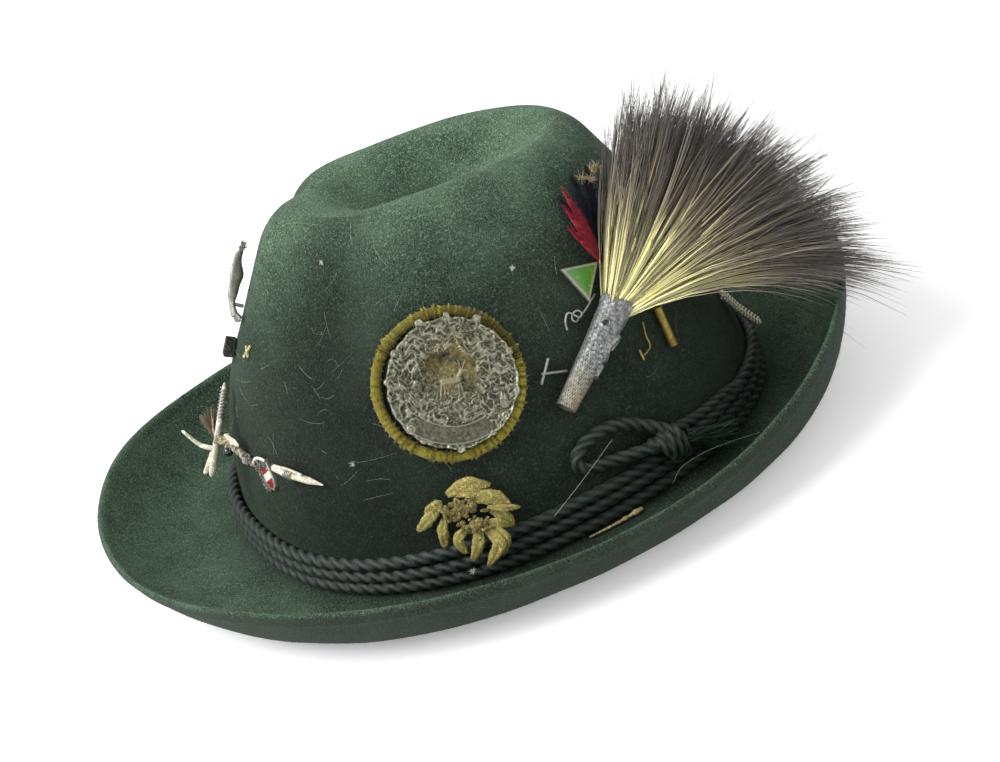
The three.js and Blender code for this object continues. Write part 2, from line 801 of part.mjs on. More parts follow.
// Forms of the picture, sunk into the disc, and the scrolls on its rim.
function medalRelief() {
  const field = medalRadius - medalRimWidth;
  const root = medalBase / 2;
  const forms = medalForms.map((form) => plate(
    form.corners.map(([x, y]) => [x * field, y * field]), form.height + medalBase - root, 0,
  ).translate(0, 0, root));
  const ring = medalRadius - medalRimWidth / 2;
  const scrolls = Array.from({ length: medalScrolls }, (_, index) => {
    const turn = (2 * Math.PI * index) / medalScrolls;
    return new THREE.CylinderGeometry(scrollTip, scrollFoot, 1.6 * medalRimHeight, 5).rotateX(Math.PI / 2)
      .translate(ring * Math.cos(turn), ring * Math.sin(turn), medalBase + medalRimHeight / 2);
  });
  return [...forms, ...scrolls];
}

// Two dried flower heads: woolly petals round a knobbly middle, the small head drooping.
function buildEdelweiss() {
  const flowers = edelweissHeads.flatMap((head) => {
    const frame = wallFrame(head.angle, head.level, head.off);
    const middle = new THREE.SphereGeometry(head.knob, 6, 4).scale(1, 1, 0.7).applyMatrix4(frame);
    const outward = wallNormal(head.angle, head.level);
    const petals = head.petals.map((petal) => {
      const way = new THREE.Vector3(Math.cos(radians(petal.turn)), Math.sin(radians(petal.turn)), 0);
      const start = way.clone().multiplyScalar(head.knob * 0.4);
      const end = way.clone().multiplyScalar(petal.length);
      end.z = petal.tip;
      return leaf(start.applyMatrix4(frame), end.applyMatrix4(frame), outward, petal.width, petalThickness,
        { sides: 4, steps: 3 });
    });
    return [middle, ...petals];
  });
  addPiece("edelweiss", fuse(flowers), 0xb4a050, 0.95);
}

function buildStalk() {
  const points = stalkPoints.map((row) => {
    const point = brimPoint(row.angle, row.reach);
    point.z += stalkRadius + row.off;
    return point;
  });
  const thin = (share) => 0.55 + 0.6 * share;
  addPiece("dry_stalk", bar(points, stalkRadius, new THREE.Vector3(0, 0, 1), { sides: 5, steps: 5, thin }),
    0xa08c5a, 0.9);
}

// The brush's own frame: its axis, the side that it fans towards and the way it faces.
function brushFrame() {
  const foot = onWall(holderFoot.angle, holderFoot.level, holderFoot.off);
  const mouth = onWall(holderMouth.angle, holderMouth.level, holderMouth.off);
  const axis = mouth.clone().sub(foot);
  const length = axis.length();
  axis.normalize();
  const facing = wallNormal(holderMouth.angle, holderMouth.level);
  facing.addScaledVector(axis, -facing.dot(axis)).normalize();
  const side = new THREE.Vector3().crossVectors(axis, facing);
  const frame = new THREE.Matrix4().makeBasis(side, axis, facing).setPosition(foot);
  return { foot, mouth, axis, facing, side, frame, length };
}

function buildHolder() {
  const { frame, length } = brushFrame();
  const outer = (share) => THREE.MathUtils.lerp(holderFootRadius, holderMouthRadius, share);
  const profile = [
    [0, length * 0.12], [outer(0) - holderWall, length * 0.1], [outer(0) - holderWall, 0], [outer(0), 0],
    [outer(0.5) * 0.97, length * 0.5], [outer(1), length], [outer(1) - holderWall, length],
    [outer(1) - holderWall, length - socketDepth], [0, length - socketDepth],
  ].map(([x, y]) => new THREE.Vector2(x, y));
  const tube = new THREE.LatheGeometry(profile, 12);
  const out = new THREE.Vector3(0, 0, 1);
  const leafFoot = new THREE.Vector3(holderLeafShift, length * 0.38, outer(0.4) * 0.8);
  const leafTip = new THREE.Vector3(holderLeafShift * 1.3, length * 0.86, outer(0.85) * 0.9);
  const ornament = leaf(leafFoot, leafTip, out, holderLeafWidth, holderLeafThickness, { sides: 8, steps: 5 });
  addPiece("brush_holder", fuse([tube, ornament]).applyMatrix4(frame), 0x828282, 0.5, 0.9);
}

// Hair of the brush: a head in the holder's mouth and two layers of locks fanned from it.
function buildHair() {
  const { mouth, axis, facing, side } = brushFrame();
  const plug = holderMouthRadius - holderWall - seatGap - roundEase;
  const start = mouth.clone().addScaledVector(axis, seatGap - socketDepth);
  const neck = mouth.clone().addScaledVector(axis, hairNeck);
  const head = bar([start, mouth.clone(), neck], plug, facing, { sides: 8, steps: 4 });
  const locks = hairLayers.flatMap((layer) => Array.from({ length: layer.locks }, (_, index) => {
    const share = index / (layer.locks - 1);
    const turn = THREE.MathUtils.lerp(fanStart + layer.inset, fanEnd - layer.inset, share);
    const way = axis.clone().multiplyScalar(Math.cos(radians(turn)))
      .addScaledVector(side, Math.sin(radians(turn)));
    const length = layer.reach * (hairLength + hairGrowth * turn);
    const rise = facing.clone().multiplyScalar(layer.rise * hairThickness);
    const lockWidth = (2 * Math.PI * length * (fanEnd - fanStart)) / 360 / layer.locks;
    const stations = hairProfile.map((row) => ({
      centre: mouth.clone().addScaledVector(way, length * row.along).addScaledVector(rise, row.along),
      outward: facing,
      width: Math.max(plug * 0.5, lockWidth * 0.62 * row.along) * row.width,
      height: (hairThickness / 4) * row.depth,
    }));
    return sweep(stations, 5);
  }));
  addPiece("brush_hair", fuse([head, ...locks]), 0x5a4c40, 0.85);
}

function wallPath(rows) {
  return rows.map((row) => onWall(row.angle, row.level, row.off));
}

function buildBrushWires() {
  const outward = wallNormal(holderFoot.angle, holderFoot.level);
  addPiece("brush_wire", bar(wallPath(wirePoints), wireRadius, outward, { sides: 5, steps: 14 }),
    0x6e6e6a, 0.45, 0.9);
  const stem = bar(wallPath(pinStem), wireRadius, outward, { sides: 5, steps: 2 });
  const head = bar(wallPath(pinHead), wireRadius, outward, { sides: 5, steps: 2 });
  addPiece("brush_pin", fuse([stem, head]), 0x6e6e6a, 0.45, 0.9);
}

function buildBrassTube() {
  const [foot, mouth] = wallPath(brassPoints);
  const axis = mouth.clone().sub(foot);
  const length = axis.length();
  const bore = brassRadius - brassWall;
  const profile = [[bore, 0], [brassRadius, 0], [brassRadius, length], [bore, length], [bore, 0]]
    .map(([x, y]) => new THREE.Vector2(x, y));
  const turn = new THREE.Quaternion().setFromUnitVectors(new THREE.Vector3(0, 1, 0), axis.normalize());
  const tube = new THREE.LatheGeometry(profile, 12).applyQuaternion(turn).translate(foot.x, foot.y, foot.z);
  addPiece("brass_tube", fuse([tube]), 0x786428, 0.4, 0.9);
  const outward = wallNormal(brassPoints[0].angle, brassPoints[0].level);
  addPiece("tube_hook", bar(wallPath(hookPoints), wireRadius, outward, { sides: 5, steps: 8 }),
    0x6e6e6a, 0.45, 0.9);
}

// Short blades bound at their quills.
function buildFeathers(name, rows, color) {
  const quill = onWall(featherRoot.angle, featherRoot.level, rows[0].off);
  const outward = wallNormal(featherRoot.angle, featherRoot.level);
  const blades = rows.map((row) => leaf(quill, onWall(row.angle, row.level, row.off), outward,
    featherWidth * row.width, featherThickness, { sides: 4, steps: 4, blunt: 0.8 }));
  addPiece(name, fuse(blades), color, 0.7);
}

function buildPennant() {
  const frame = wallFrame(pennantAngle, pennantLevel, pennantLift, pennantTurn);
  const corner = (turn, size) => {
    const reach = (pennantSide / Math.sqrt(3)) * size;
    return [reach * Math.cos(radians(turn)), reach * Math.sin(radians(turn))];
  };
  const outline = (size) => [90, 210, 330].map((turn) => corner(turn, size));
  const body = plate(outline(1), badgeThickness);
  const field = plate(outline(pennantField), badgeThickness, 0.1)
    .translate(0, 0, badgeThickness - enamelDepth);
  addPiece("pennant_pin", cut(body, field).applyMatrix4(frame), 0x509632, 0.3, 0.3);
}

function buildBraidedPin() {
  const points = wallPath(braidPoints);
  const outward = wallNormal(braidPoints[0].angle, braidPoints[0].level);
  const curve = new THREE.CatmullRomCurve3(points);
  const steps = 12;
  const stations = Array.from({ length: steps + 1 }, (_, step) => {
    const share = step / steps;
    const swell = (step % 2 ? 1 : 0.82) * (step === 0 || step === steps ? 0.5 : 1);
    return {
      centre: curve.getPoint(share),
      outward,
      width: (braidWidth / 2) * swell,
      height: braidThickness / 2,
    };
  });
  addPiece("braided_pin", sweep(stations, 6), 0x8a8a86, 0.4, 0.9);
}

// Small cast pin at the front: a long slim body on a plain post.
function buildFigurePin() {
  const outward = wallNormal(figureRows[0].angle, figureRows[0].level);
  const path = wallPath(figureRows);
  const aside = new THREE.Vector3(1, 0, 0);
  const stations = figureRows.map((row, index) => ({
    centre: path[index],
    outward: aside,
    width: figureDepth * row.depth,
    height: figureWidth * row.width,
  }));
  const body = sweep(stations, 8);
  const foot = figureRows[figureRows.length - 2];
  const post = bar([onWall(foot.angle, foot.level, seatGap), path[figureRows.length - 2]],
    figurePost, new THREE.Vector3(0, 0, 1), { sides: 6, steps: 1 });
  const boot = leaf(path[figureRows.length - 1], onWall(figureToe.angle, figureToe.level, figureToe.off),
    outward, figureBootWidth, figureBootHeight);
  addPiece("figure_pin", fuse([body, post, boot]), 0x7d786e, 0.5, 0.8);
}

function buildFrontTrim() {
  const seat = wallFrame(wedgePlace.angle, wedgePlace.level, seatGap, wedgePlace.turn);
  addPiece("front_wedge", plate(wedgeCorners, wedgeThickness).applyMatrix4(seat), 0x372d28, 0.6);
  const half = crossWidth / 2;
  const bars = crossBars.map((row) => plate([
    [-row.length / 2, -half], [row.length / 2, -half], [row.length / 2, half], [-row.length / 2, half],
  ], crossThickness, 0.15).rotateZ(radians(row.turn)));
  addPiece("crown_cross",
    fuse(bars).applyMatrix4(wallFrame(crossPlace.angle, crossPlace.level, crossPlace.off)), 0xbeb496, 0.7);
}

// Alpine badge: carved sticks crossed on a forked twig, a fan of bristles and a dark bead.
function buildAlpineBadge() {
  const outward = new THREE.Vector3(1, 0, 0);
  const stick = (rows, radius, thin, steps = 5) => bar(wallPath(rows), radius, outward,
    { sides: 5, steps, thin });
  const long = stick(longStick, stickRadius, (share) => 0.75 + 0.35 * share);
  const curved = stick(curvedStick, stickRadius * 0.8, (share) => 1.1 - 0.5 * share);
  const short = stick(shortStick, stickRadius * 0.75, () => 1, 2);
  const twig = stick(twigPath, twigRadius, (share) => 1.15 - 0.3 * share);
  const fork = stick(forkPath, twigRadius * 0.8, (share) => 1 - 0.5 * share, 2);
  addPiece("badge_sticks", fuse([long, curved, short, twig, fork]), 0xbeb496, 0.6);
  const bristles = bristleRows.map((row) => leaf(
    onWall(bristleRoot.angle, bristleRoot.level, bristleRoot.off),
    onWall(row.angle, row.level, row.off), outward, row.width, bristleThickness, { sides: 6, steps: 3 },
  ));
  addPiece("badge_bristles", fuse(bristles), 0x5a4b3c, 0.85);
  const bead = new THREE.SphereGeometry(beadRadius, 10, 6);
  const place = onWall(beadPlace.angle, beadPlace.level, beadPlace.off);
  addPiece("badge_bead", bead.translate(place.x, place.y, place.z), 0x141414, 0.3);
}

function buildShieldPin() {
  const frame = wallFrame(shieldPlace.angle, shieldPlace.level, shieldPlace.off, shieldTurn);
  const half = shieldWidth / 2;
  const top = shieldHeight / 2;
  const outline = (size) => [[-half, top], [half, top], [half, -top * 0.35], [half * 0.62, -top * 0.8],
    [0, -top], [-half * 0.62, -top * 0.8], [-half, -top * 0.35]].map(([x, y]) => [x * size, y * size]);
  const body = plate(outline(1), badgeThickness);
  const field = plate(outline(0.74), badgeThickness, 0.1).translate(0, 0, badgeThickness - enamelDepth);
  addPiece("shield_pin", cut(body, field).applyMatrix4(frame), 0x8c2828, 0.35, 0.3);
}

function buildAxePin() {
  const outward = wallNormal(axePath[0].angle, axePath[0].level);
  const taper = (share) => 1 - 0.75 * Math.max(0, share - 0.72) / 0.28;
  const shaft = bar(wallPath(axePath), axeRadius, outward, { sides: 6, steps: 7, thin: taper });
  const rod = bar(wallPath(rodPath), wireRadius * 1.1, outward, { sides: 5, steps: 3 });
  const binding = bar(wallPath(bindingPath), axeRadius * 1.45, outward, { sides: 6, steps: 1 });
  addPiece("axe_pin", fuse([shaft, rod, binding]), 0xaaa08c, 0.5, 0.3);
}

buildFelt();
buildCordTurns();
buildCordLoop();
buildKnot();
buildTassel();
buildMedal();
buildEdelweiss();
buildStalk();
buildHolder();
buildHair();
buildBrushWires();
buildBrassTube();
buildFeathers("red_feathers", redFeathers, 0xaa283c);
buildFeathers("dark_feathers", darkFeathers, 0x19202d);
buildPennant();
buildBraidedPin();
buildFigurePin();
buildFrontTrim();
buildAlpineBadge();
buildShieldPin();
buildAxePin();

// The origin is the middle of the whole hat's box, on the floor.
const box = new THREE.Box3().setFromObject(hat);
hat.position.set(-(box.min.x + box.max.x) / 2, -(box.min.y + box.max.y) / 2, -box.min.z);
hat.updateMatrixWorld(true);

export default hat;
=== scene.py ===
"""Dresses a felt hat with nap, twisted cords, a medal, dried flowers, a hair brush and badges."""

import bpy
import numpy as np
from bpy.props import FloatProperty, FloatVectorProperty, IntProperty, PointerProperty
from mathutils import Matrix, Vector


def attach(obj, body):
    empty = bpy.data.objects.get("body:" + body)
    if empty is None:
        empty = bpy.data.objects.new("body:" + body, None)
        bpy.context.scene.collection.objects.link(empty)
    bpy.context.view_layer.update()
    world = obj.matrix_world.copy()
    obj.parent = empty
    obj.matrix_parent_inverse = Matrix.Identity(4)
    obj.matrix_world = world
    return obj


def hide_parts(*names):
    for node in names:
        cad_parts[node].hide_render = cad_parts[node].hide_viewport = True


bl_info = {
    "name": "Felt Hat Dresser",
    "version": (1, 0, 0),
    "blender": (4, 5, 0),
    "location": "View3D > Sidebar > Hat",
    "description": "Builds the visible surfaces of a felt hat with a cord, badges and a hair brush",
    "category": "Add Mesh",
}

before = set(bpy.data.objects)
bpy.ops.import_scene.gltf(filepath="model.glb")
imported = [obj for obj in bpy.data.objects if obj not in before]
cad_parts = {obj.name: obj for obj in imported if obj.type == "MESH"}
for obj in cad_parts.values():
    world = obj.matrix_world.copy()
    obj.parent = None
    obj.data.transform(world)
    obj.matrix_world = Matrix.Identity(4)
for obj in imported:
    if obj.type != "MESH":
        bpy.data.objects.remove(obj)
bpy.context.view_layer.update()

# Shapes are worked out in millimetres round the middle of the crown's foot, then moved and put in metres.
MM = 0.001
SHIFT = np.array([0.0088, 3.0864, 0.0])

FELT_WALL = 2.2
ROOT_FRONT, ROOT_BACK, ROOT_HALF_WIDTH, ROOT_SQUARENESS, ROOT_LIFT = 100.0, 106.0, 88.0, 2.32, 5.1
CREST_FRONT, CREST_BACK = 129.5, 121.5
CREST_HALF_FRONT, CREST_HALF_BACK, CREST_HALF_WIDTH, CREST_SQUARENESS = 57.0, 65.0, 38.5, 2.2
FRONT_TAPER, BACK_TAPER, SIDE_TAPER = 2.1, 1.64, 1.78
SHOULDER_INSET, SHOULDER_SHARE = 7.0, 0.08
DENT_DEPTH, DENT_CENTRE = 25.0, 6.0
PINCH_DEPTH, PINCH_ANGLE, PINCH_SPREAD = 0.17, 36.0, 20.0
PINCH_LEVEL, PINCH_REACH, PINCH_DROP = 0.86, 0.24, 3.0
BRIM_WIDTH, BRIM_RISE, BRIM_DIP = 50.0, 40.0, 10.9
CURL_START, CURL_SHIFT = 0.72, 0.12
# Width, edge height and dip of the brim every 30 degrees from the front, as shares of the three sizes above
BRIM_STEP = 30.0
BRIM_ROWS = np.array([
    [1.1, 0.73, 0.82],
    [0.97, 0.78, 0.83],
    [0.82, 0.65, 0.69],
    [0.8, 0.58, 0.59],
    [0.76, 0.74, 0.87],
    [0.8, 1.09, 1.05],
    [0.85, 0.98, 1.02],
])
SEAT_GAP, ROUND_EASE = 0.3, 0.3
CORD_FOOT = 7.5
CORD_LOOP = [
    (99.5, 0.222, 0.6), (96, 0.252, 0.5), (92.5, 0.262, 0.5), (89.3, 0.248, 0.5),
    (87.6, 0.215, 0.5), (88.6, 0.184, 0.6), (92, 0.17, 1.2), (96.5, 0.16, 3.6),
]
# Where the bight's two ends run into the knot, and the end that leaves it along the wall
CORD_IN = [(104.5, 0.155, 5.5), (102.2, 0.19, 2.8)]
CORD_OUT = [(99.8, 0.15, 5.0), (103.0, 0.145, 6.0)]
CORD_TAIL = [(104.0, 0.155, 5.0), (107.3, 0.15, 2.2), (112.7, 0.136, 0.8), (118.7, 0.13, 0.7),
             (123.0, 0.125, 0.7), (130.0, 0.1, 0.9)]
KNOT_ANGLE, KNOT_LEVEL, KNOT_LIFT, KNOT_SIZE = 103.0, 0.146, 7.4, 10.5
TASSEL_START = 4.8
TASSEL_ROWS = [(9.5, 0.055, 7.4), (13.6, 0.036, 7.6), (11, 0.024, 8.4), (10.2, 0.008, 9), (6.2, 0.014, 9)]
MEDAL_ANGLE, MEDAL_LEVEL, MEDAL_TURN, MEDAL_RADIUS = 69.0, 0.55, -18.0, 24.6
MEDAL_BASE, MEDAL_RIM_HEIGHT = 1.6, 1.3
CHENILLE_RADIUS, CHENILLE_THICKNESS = 24.8, 3.2
FLOWER_PLACE = (60.5, 0.235, 0)
# Petals as start, middle and tip in the frame of that place, and their width
PETALS = [
    ((1.4, 4.2, 3.0), (8.6, 6.6, 4.4), (16.8, 3.6, 3.0), 4.6),
    ((-3.1, 0.1, 3.0), (-7.2, -2.4, 3.6), (-12.3, -6, 2.2), 4.2),
    ((-1.2, 1.9, 3.0), (-4.1, 1.7, 3.6), (-7.9, -0.4, 2.0), 3.4),
    ((-2.2, -4, 3.0), (-3.8, -8.4, 3.6), (-4.8, -14.4, 2.4), 3.8),
    ((9.4, 0.4, 3.5), (15.6, 0.0, 4.8), (21.6, -6.0, 3.0), 5.6),
    ((13.8, -3.6, 4.5), (19.7, -5.4, 5.0), (24.6, -6.9, 4), 2.6),
    ((14.5, -5.3, 3.0), (18.4, -8.6, 3.4), (20.4, -13.5, 2.2), 4.6),
    ((8.2, -8.7, 6.0), (7.6, -14.1, 8.4), (3.7, -20.1, 6.6), 4.2),
    ((10.7, -10.2, 6.0), (14.4, -16.3, 9.0), (8.5, -23.8, 6.8), 4.6),
    ((12.2, -10, 5.5), (17.2, -14.7, 8.2), (14.4, -21.4, 6.6), 3.4),
    ((5.0, -8.5, 5.0), (0.8, -11.8, 7.0), (2.2, -17.4, 6.2), 3.6),
    ((10.0, -10, 5.0), (14.9, -9.3, 6.8), (19.4, -11.9, 5.2), 3.6),
    ((4.0, 3.6, 3.2), (9.6, 3.4, 4.6), (14.6, 1.0, 3.6), 4.0),
]
# Knobbly middles: centre, half size along and across, height and number of knobs
HEARTS = [((4.6, -1.6, 3.6), 6.4, 3.6, 1.6, 90), ((8.8, -8.4, 6.4), 3.4, 2.6, 1.6, 44)]
STALK = [(85.3, 0.1), (89.8, 0.105), (94, 0.1)]
HOLDER_FOOT, HOLDER_MOUTH = (89, 0.37, 4.8), (107, 0.55, 7.7)
HOLDER_FOOT_RADIUS, HOLDER_MOUTH_RADIUS, HOLDER_WALL, SOCKET_DEPTH = 3.6, 6.2, 1.0, 5.0
# Bars of the holder's ornament across and along it: start, end, half thickness and height
HOLDER_LEAVES = [
    ((2.9, 26.2), (4.5, 30.6), 1.6, 1.4),
    ((-2.9, 25.0), (-0.6, 23.2), 0.8, 0.8),
    ((-1.2, 21.8), (2.8, 21.0), 0.8, 1.1),
    ((1.0, 26.0), (3.8, 22.0), 1.5, 1.2),
    ((-0.4, 24.8), (2.4, 27.4), 0.7, 1.1),
    ((4.0, 18.8), (4.1, 15.4), 1.3, 1.4),
    ((1.8, 19.6), (3.8, 18.6), 0.8, 1.0),
    ((0.2, 23.0), (1.6, 24.6), 0.6, 1.2),
]
HAIR_THICKNESS, FAN_START, FAN_END = 26.0, -20.5, 50.0
WIRE_RADIUS = 0.55
BRUSH_WIRE = [
    (105.7, 0.6, 1.6), (101.9, 0.578, 1.3), (99.6, 0.568, 1.3), (98.3, 0.561, 1.3), (97.8, 0.572, 1.3),
    (98.5, 0.584, 1.4), (99.7, 0.586, 1.8), (100.2, 0.574, 2.1), (99.2, 0.568, 2.2), (97.6, 0.592, 1.8),
    (96.2, 0.575, 1.4), (95.7, 0.552, 1.2),
]
PIN_STEM = [(92, 0.455, 1.2), (88, 0.48, 2.4)]
PIN_HEAD = [(90, 0.51, 2.4), (87.2, 0.455, 2.4)]
BRASS_TUBE = [(116.5, 0.35, 2.1), (118.5, 0.47, 2.1)]
TUBE_HOOK = [(113.0, 0.46, 0.9), (111.6, 0.425, 1.2), (111.2, 0.395, 1.2), (109.9, 0.385, 1.2),
             (108.3, 0.381, 1.3)]
HOOK_BAR = [(108.0, 0.402, 1.4), (107.8, 0.37, 1.4)]
FEATHER_ROOT = (112, 0.66)
RED_FEATHERS = [(116, 0.87, 2.8, 1), (112.5, 0.83, 2.8, 1.1), (109.5, 0.78, 2.8, 1)]
DARK_FEATHERS = [(132, 0.885, 1.45, 1.3), (124, 0.893, 1.45, 1.2), (114, 0.86, 1.45, 1.2)]
PENNANT = (104.6, 0.655, 2.5, 42)
PENNANT_SIDE = 15.5
SHIELD = (10.5, 0.325, 0, 35)
SHIELD_WIDTH, SHIELD_HEIGHT = 6.4, 12.0
BRAID = [(149, 0.3, 1.4), (151, 0.22, 3.4), (152, 0.14, 7.8)]
FIGURE_ROWS = [
    (-16, 0.87, 7, 0.35, 0.5), (-16, 0.84, 7.6, 0.7, 0.9), (-15, 0.8, 6, 1, 1.1),
    (-13, 0.77, 5.4, 0.8, 1), (-11, 0.74, 4.6, 0.45, 0.8), (-9, 0.715, 2.6, 0.5, 0.8),
]
FIGURE_TOE = (-4, 0.725, 1.9)
LONG_STICK = [(-8, 0.53, 3.6), (-5, 0.43, 7), (-2, 0.29, 14)]
CURVED_STICK = [(-3.5, 0.36, 10.4), (-5.5, 0.37, 15), (-7, 0.41, 20.6)]
SHORT_STICK = [(-3.6, 0.352, 11.2), (-3, 0.295, 15.6)]
TWIG = [(-3.8, 0.385, 9.6), (-2, 0.38, 6), (1, 0.345, 2), (4, 0.335, 1)]
FORK = [(-2, 0.38, 6.4), (-3, 0.4, 4.6)]
BRISTLE_ROOT = (-4.9, 0.385, 9.4)
BRISTLE_ROWS = [(-8.4, 0.445, 6.5), (-8.4, 0.45, 10), (-8.3, 0.43, 13)]
BEAD = (-2, 0.35, 6)
SHAFT = [(13.5, 0.365, 1.8), (20, 0.36, 2), (31, 0.345, 2.2)]
ROD = [(15, 0.374, 2.8), (20, 0.378, 2.9), (25, 0.369, 2.8)]
BINDING = [(19, 0.362, 2.2), (21.5, 0.36, 2.2)]
UPWARD, RIGHTWARD = np.array([0.0, 0.0, 1.0]), np.array([1.0, 0.0, 0.0])
# A direction that no thread runs along, which sets how the sides of a thread are turned
SLANT = np.array([0.3, 0.5, 0.8])

# Columns round the felt and rows down its top, wall and brim, for the shell and for the places of the nap
FELT_GRID, NAP_GRID = (200, 22, 48, 42), (180, 16, 34, 30)
# Painted light and shade on the felt's colour, as a factor: its least, low on the wall where shade is
# painted, what it gains up the wall as painted light, the height in mm where that starts, and over how many
# mm it goes on
PAINTED_LIGHT_LOW, PAINTED_LIGHT_GAIN, PAINTED_LIGHT_START, PAINTED_LIGHT_CLIMB = 0.27, 1.3, 45.0, 81.0
# Painted shade in the hollows of the front pinches: how much less, and its spread in degrees
PAINTED_PINCH_SHADE, PAINTED_PINCH_SHADE_SPREAD = 0.45, 24.0
# Painted light on the crown's top: its factor, and how far the top is drawn towards it
PAINTED_TOP_LIGHT, PAINTED_TOP_LIGHT_SHARE = 1.75, 0.75
# The same painted light and shade on the brim: painted shade at its foot beside the crown, painted light at
# its edge, how much less beside the brush where the brush's shadow is painted, how steeply it climbs out over
# the brim, and more at the very edge
PAINTED_BRIM_FOOT_SHADE, PAINTED_BRIM_EDGE_LIGHT, PAINTED_BRUSH_SHADOW, PAINTED_BRIM_LIGHT_SLOPE = 0.3, 1.4, 0.85, 2.2
# Where the brush's painted shadow lies on the brim, and its spread, in degrees from the front
PAINTED_BRUSH_SHADOW_ANGLE, PAINTED_BRUSH_SHADOW_SPREAD = 78.0, 34.0
# More at the very edge: a painted highlight together with the edge's wear, and its width in mm
EDGE_WEAR_AND_PAINTED_HIGHLIGHT, EDGE_WEAR_AND_PAINTED_HIGHLIGHT_WIDTH = 0.5, 2.0
# Painted shade under the brim, on the felt and on its nap
PAINTED_UNDER_SHADE, PAINTED_UNDER_NAP_SHADE = 0.24, 0.3
GROOVE_DEPTH, GROOVE_PLACE, GROOVE_WIDTH = 0.5, 3.6, 0.8
EDGE_ANGLES = [25, 50, 75, 105, 130, 155]
# Shares of the nap on the upper and the under face, and its radius and depth in the felt
NAP_SHARES, NAP_RADIUS, NAP_SINK = (0.72, 0.28), 0.048, 0.05
NAP_LENGTHS, NAP_SLOPES, NAP_FLOOR = (0.35, 1.0), (0.1, 0.7), 0.1
# Fuzz at the brim's edge: how many fibres, the painted light on their colour, their spread and their lengths
FUZZ_COUNT, PAINTED_FUZZ_LIGHT, FUZZ_SPREAD, FUZZ_LENGTHS = 3600, 1.1, 0.6, (0.6, 1.7)

# The cord's strands: distance from its middle and radius as shares of its own, and how deep a crease is
STRAND_PLACE, STRAND_RADIUS, CREASE_FLOOR = 0.464, 0.536, 0.56
# Painted shade in the creases and painted light on the strands: where the light starts in the reach, over
# what span it comes in, and to what power
CREASE_SHADE_START, CREASE_SHADE_SPAN, CREASE_SHADE_POWER = 0.62, 0.36, 2.2
TURN_POINTS, TURN_SIDES, TURN_WAVE, TURN_THICKNESS = 560, 18, 0.3, 1.04
LOOP_POINTS, TAIL_POINTS, TAIL_THICKNESS = 170, 90, 0.9
# Turns of the knot: tilt in degrees, place across it and lift; then their radius and half their sweep
KNOT_ARCS = ((-34, -3.0, 0.2), (-22, 0.3, 0.7), (-8, 3.4, 0.2))
KNOT_CORD, KNOT_SWEEP = 2.3, 0.74
# Yarns to each end of the tassel, fibres to each yarn, and the spread and radius of both
TASSEL_YARNS, FIBRES_PER_YARN, TASSEL_POINTS = (5, 9, 10, 7, 3), 3, 11
YARN_SPREAD, YARN_RADIUS, FIBRE_SPREAD, FIBRE_RADIUS = 1.3, 0.62, 2.4, 0.13

MEDAL_COLUMNS, MEDAL_ROWS, RING_POINTS = 360, 112, 160
MEDAL_FIELD = 0.945
PILE_COUNT, PILE_TUFTS, PILE_RADIUS, PILE_LENGTHS = 9000, 128, 0.21, (0.8, 2.1)
PETAL_POINTS, PETAL_SIDES, PETAL_THICKNESS = 24, 18, 2.4
FLUFF_COUNT, FLUFF_RADIUS, FLUFF_LENGTHS = 4000, 0.05, (0.3, 0.75)
STALK_POINTS = 60
HOLDER_COLUMNS, HOLDER_ROWS = 144, 156
HOLE_ACROSS, HOLE_ALONG, HOLE_RADIUS, HOLE_DEPTH = -2.9, 33.2, 1.05, 0.9
SCALLOPS = 8.5

# The hair: locks and wisps in a layer, points along a hair, the share of wisps that stay loose, and how far a
# hair is drawn to its lock
LOCKS, WISPS, HAIR_POINTS, LOOSE_SHARE, LOCK_PULL = 120, 620, 8, 0.14, 0.8
LOCK_ANGLE, LOCK_DEPTH = 5.0, 0.3
BEND_UP, BEND_DOWN = 0.46, 0.12
HAIR_TAPER = np.array([1.0, 1.0, 1.0, 1.0, 0.93, 0.8, 0.6, 0.15])
HAIR_SIZES, HAIR_SIZE_SHARES = [0.6, 0.95, 1.6], [0.42, 0.4, 0.18]

DOWN_PLACES = ((126.0, 0.87, 2.2), (132.0, 0.87, 2.6), (136.0, 0.862, 2.4), (128.0, 0.85, 2.4))
DOWN_COUNT, DOWN_RADIUS = 40, 0.12
VANE_POINTS, BARB_COUNT, BARB_RADIUS = 60, 110, 0.11
# Enamel as the heights of its foot and top, its bevel and its dome
ENAMEL_PLATE = (1.12, 1.62, 0.12, 0.1)
BRAID_POINTS, BRAID_TURNS, BRAID_WIDTH, BRAID_LIFT = 220, 4.5, 1.75, 0.6
FIGURE_POINTS, FIGURE_SIDES, FIGURE_HAIRS = 70, 20, 70
TWIG_POINTS, TWIG_SIDES, SHAFT_POINTS = 90, 20, 90
BRISTLE_COUNT = 170
THORNS = ((-9.3, 0.425, 9.6), (-9.0, 0.43, 11.6), (-8.7, 0.455, 8.4))
SPECK_HAIRS, FINE_HAIRS, FINE_RADIUS = 36, 160, 0.022

FLOOR_REACH, VIEW_HEIGHT, SENSOR_WIDTH = 6.0, 0.0491, 36.0
KEY_PLACE, KEY_WIDTH, FILL_PLACE, FILL_WIDTH = (-0.05, -0.95, 0.95), 0.8, (0.9, 0.7, 0.35), 0.9


def srgb(red, green, blue):
    """Linear colour of screen values from 0 to 255: each is a share to the power 2.2."""
    return tuple((value / 255.0) ** 2.2 for value in (red, green, blue))


def colour_property(name, description, screen):
    """Colour setting whose default is given as screen values."""
    return FloatVectorProperty(name=name, description=description, subtype="COLOR", size=3,
                               min=0.0, max=1.0, default=srgb(*screen))


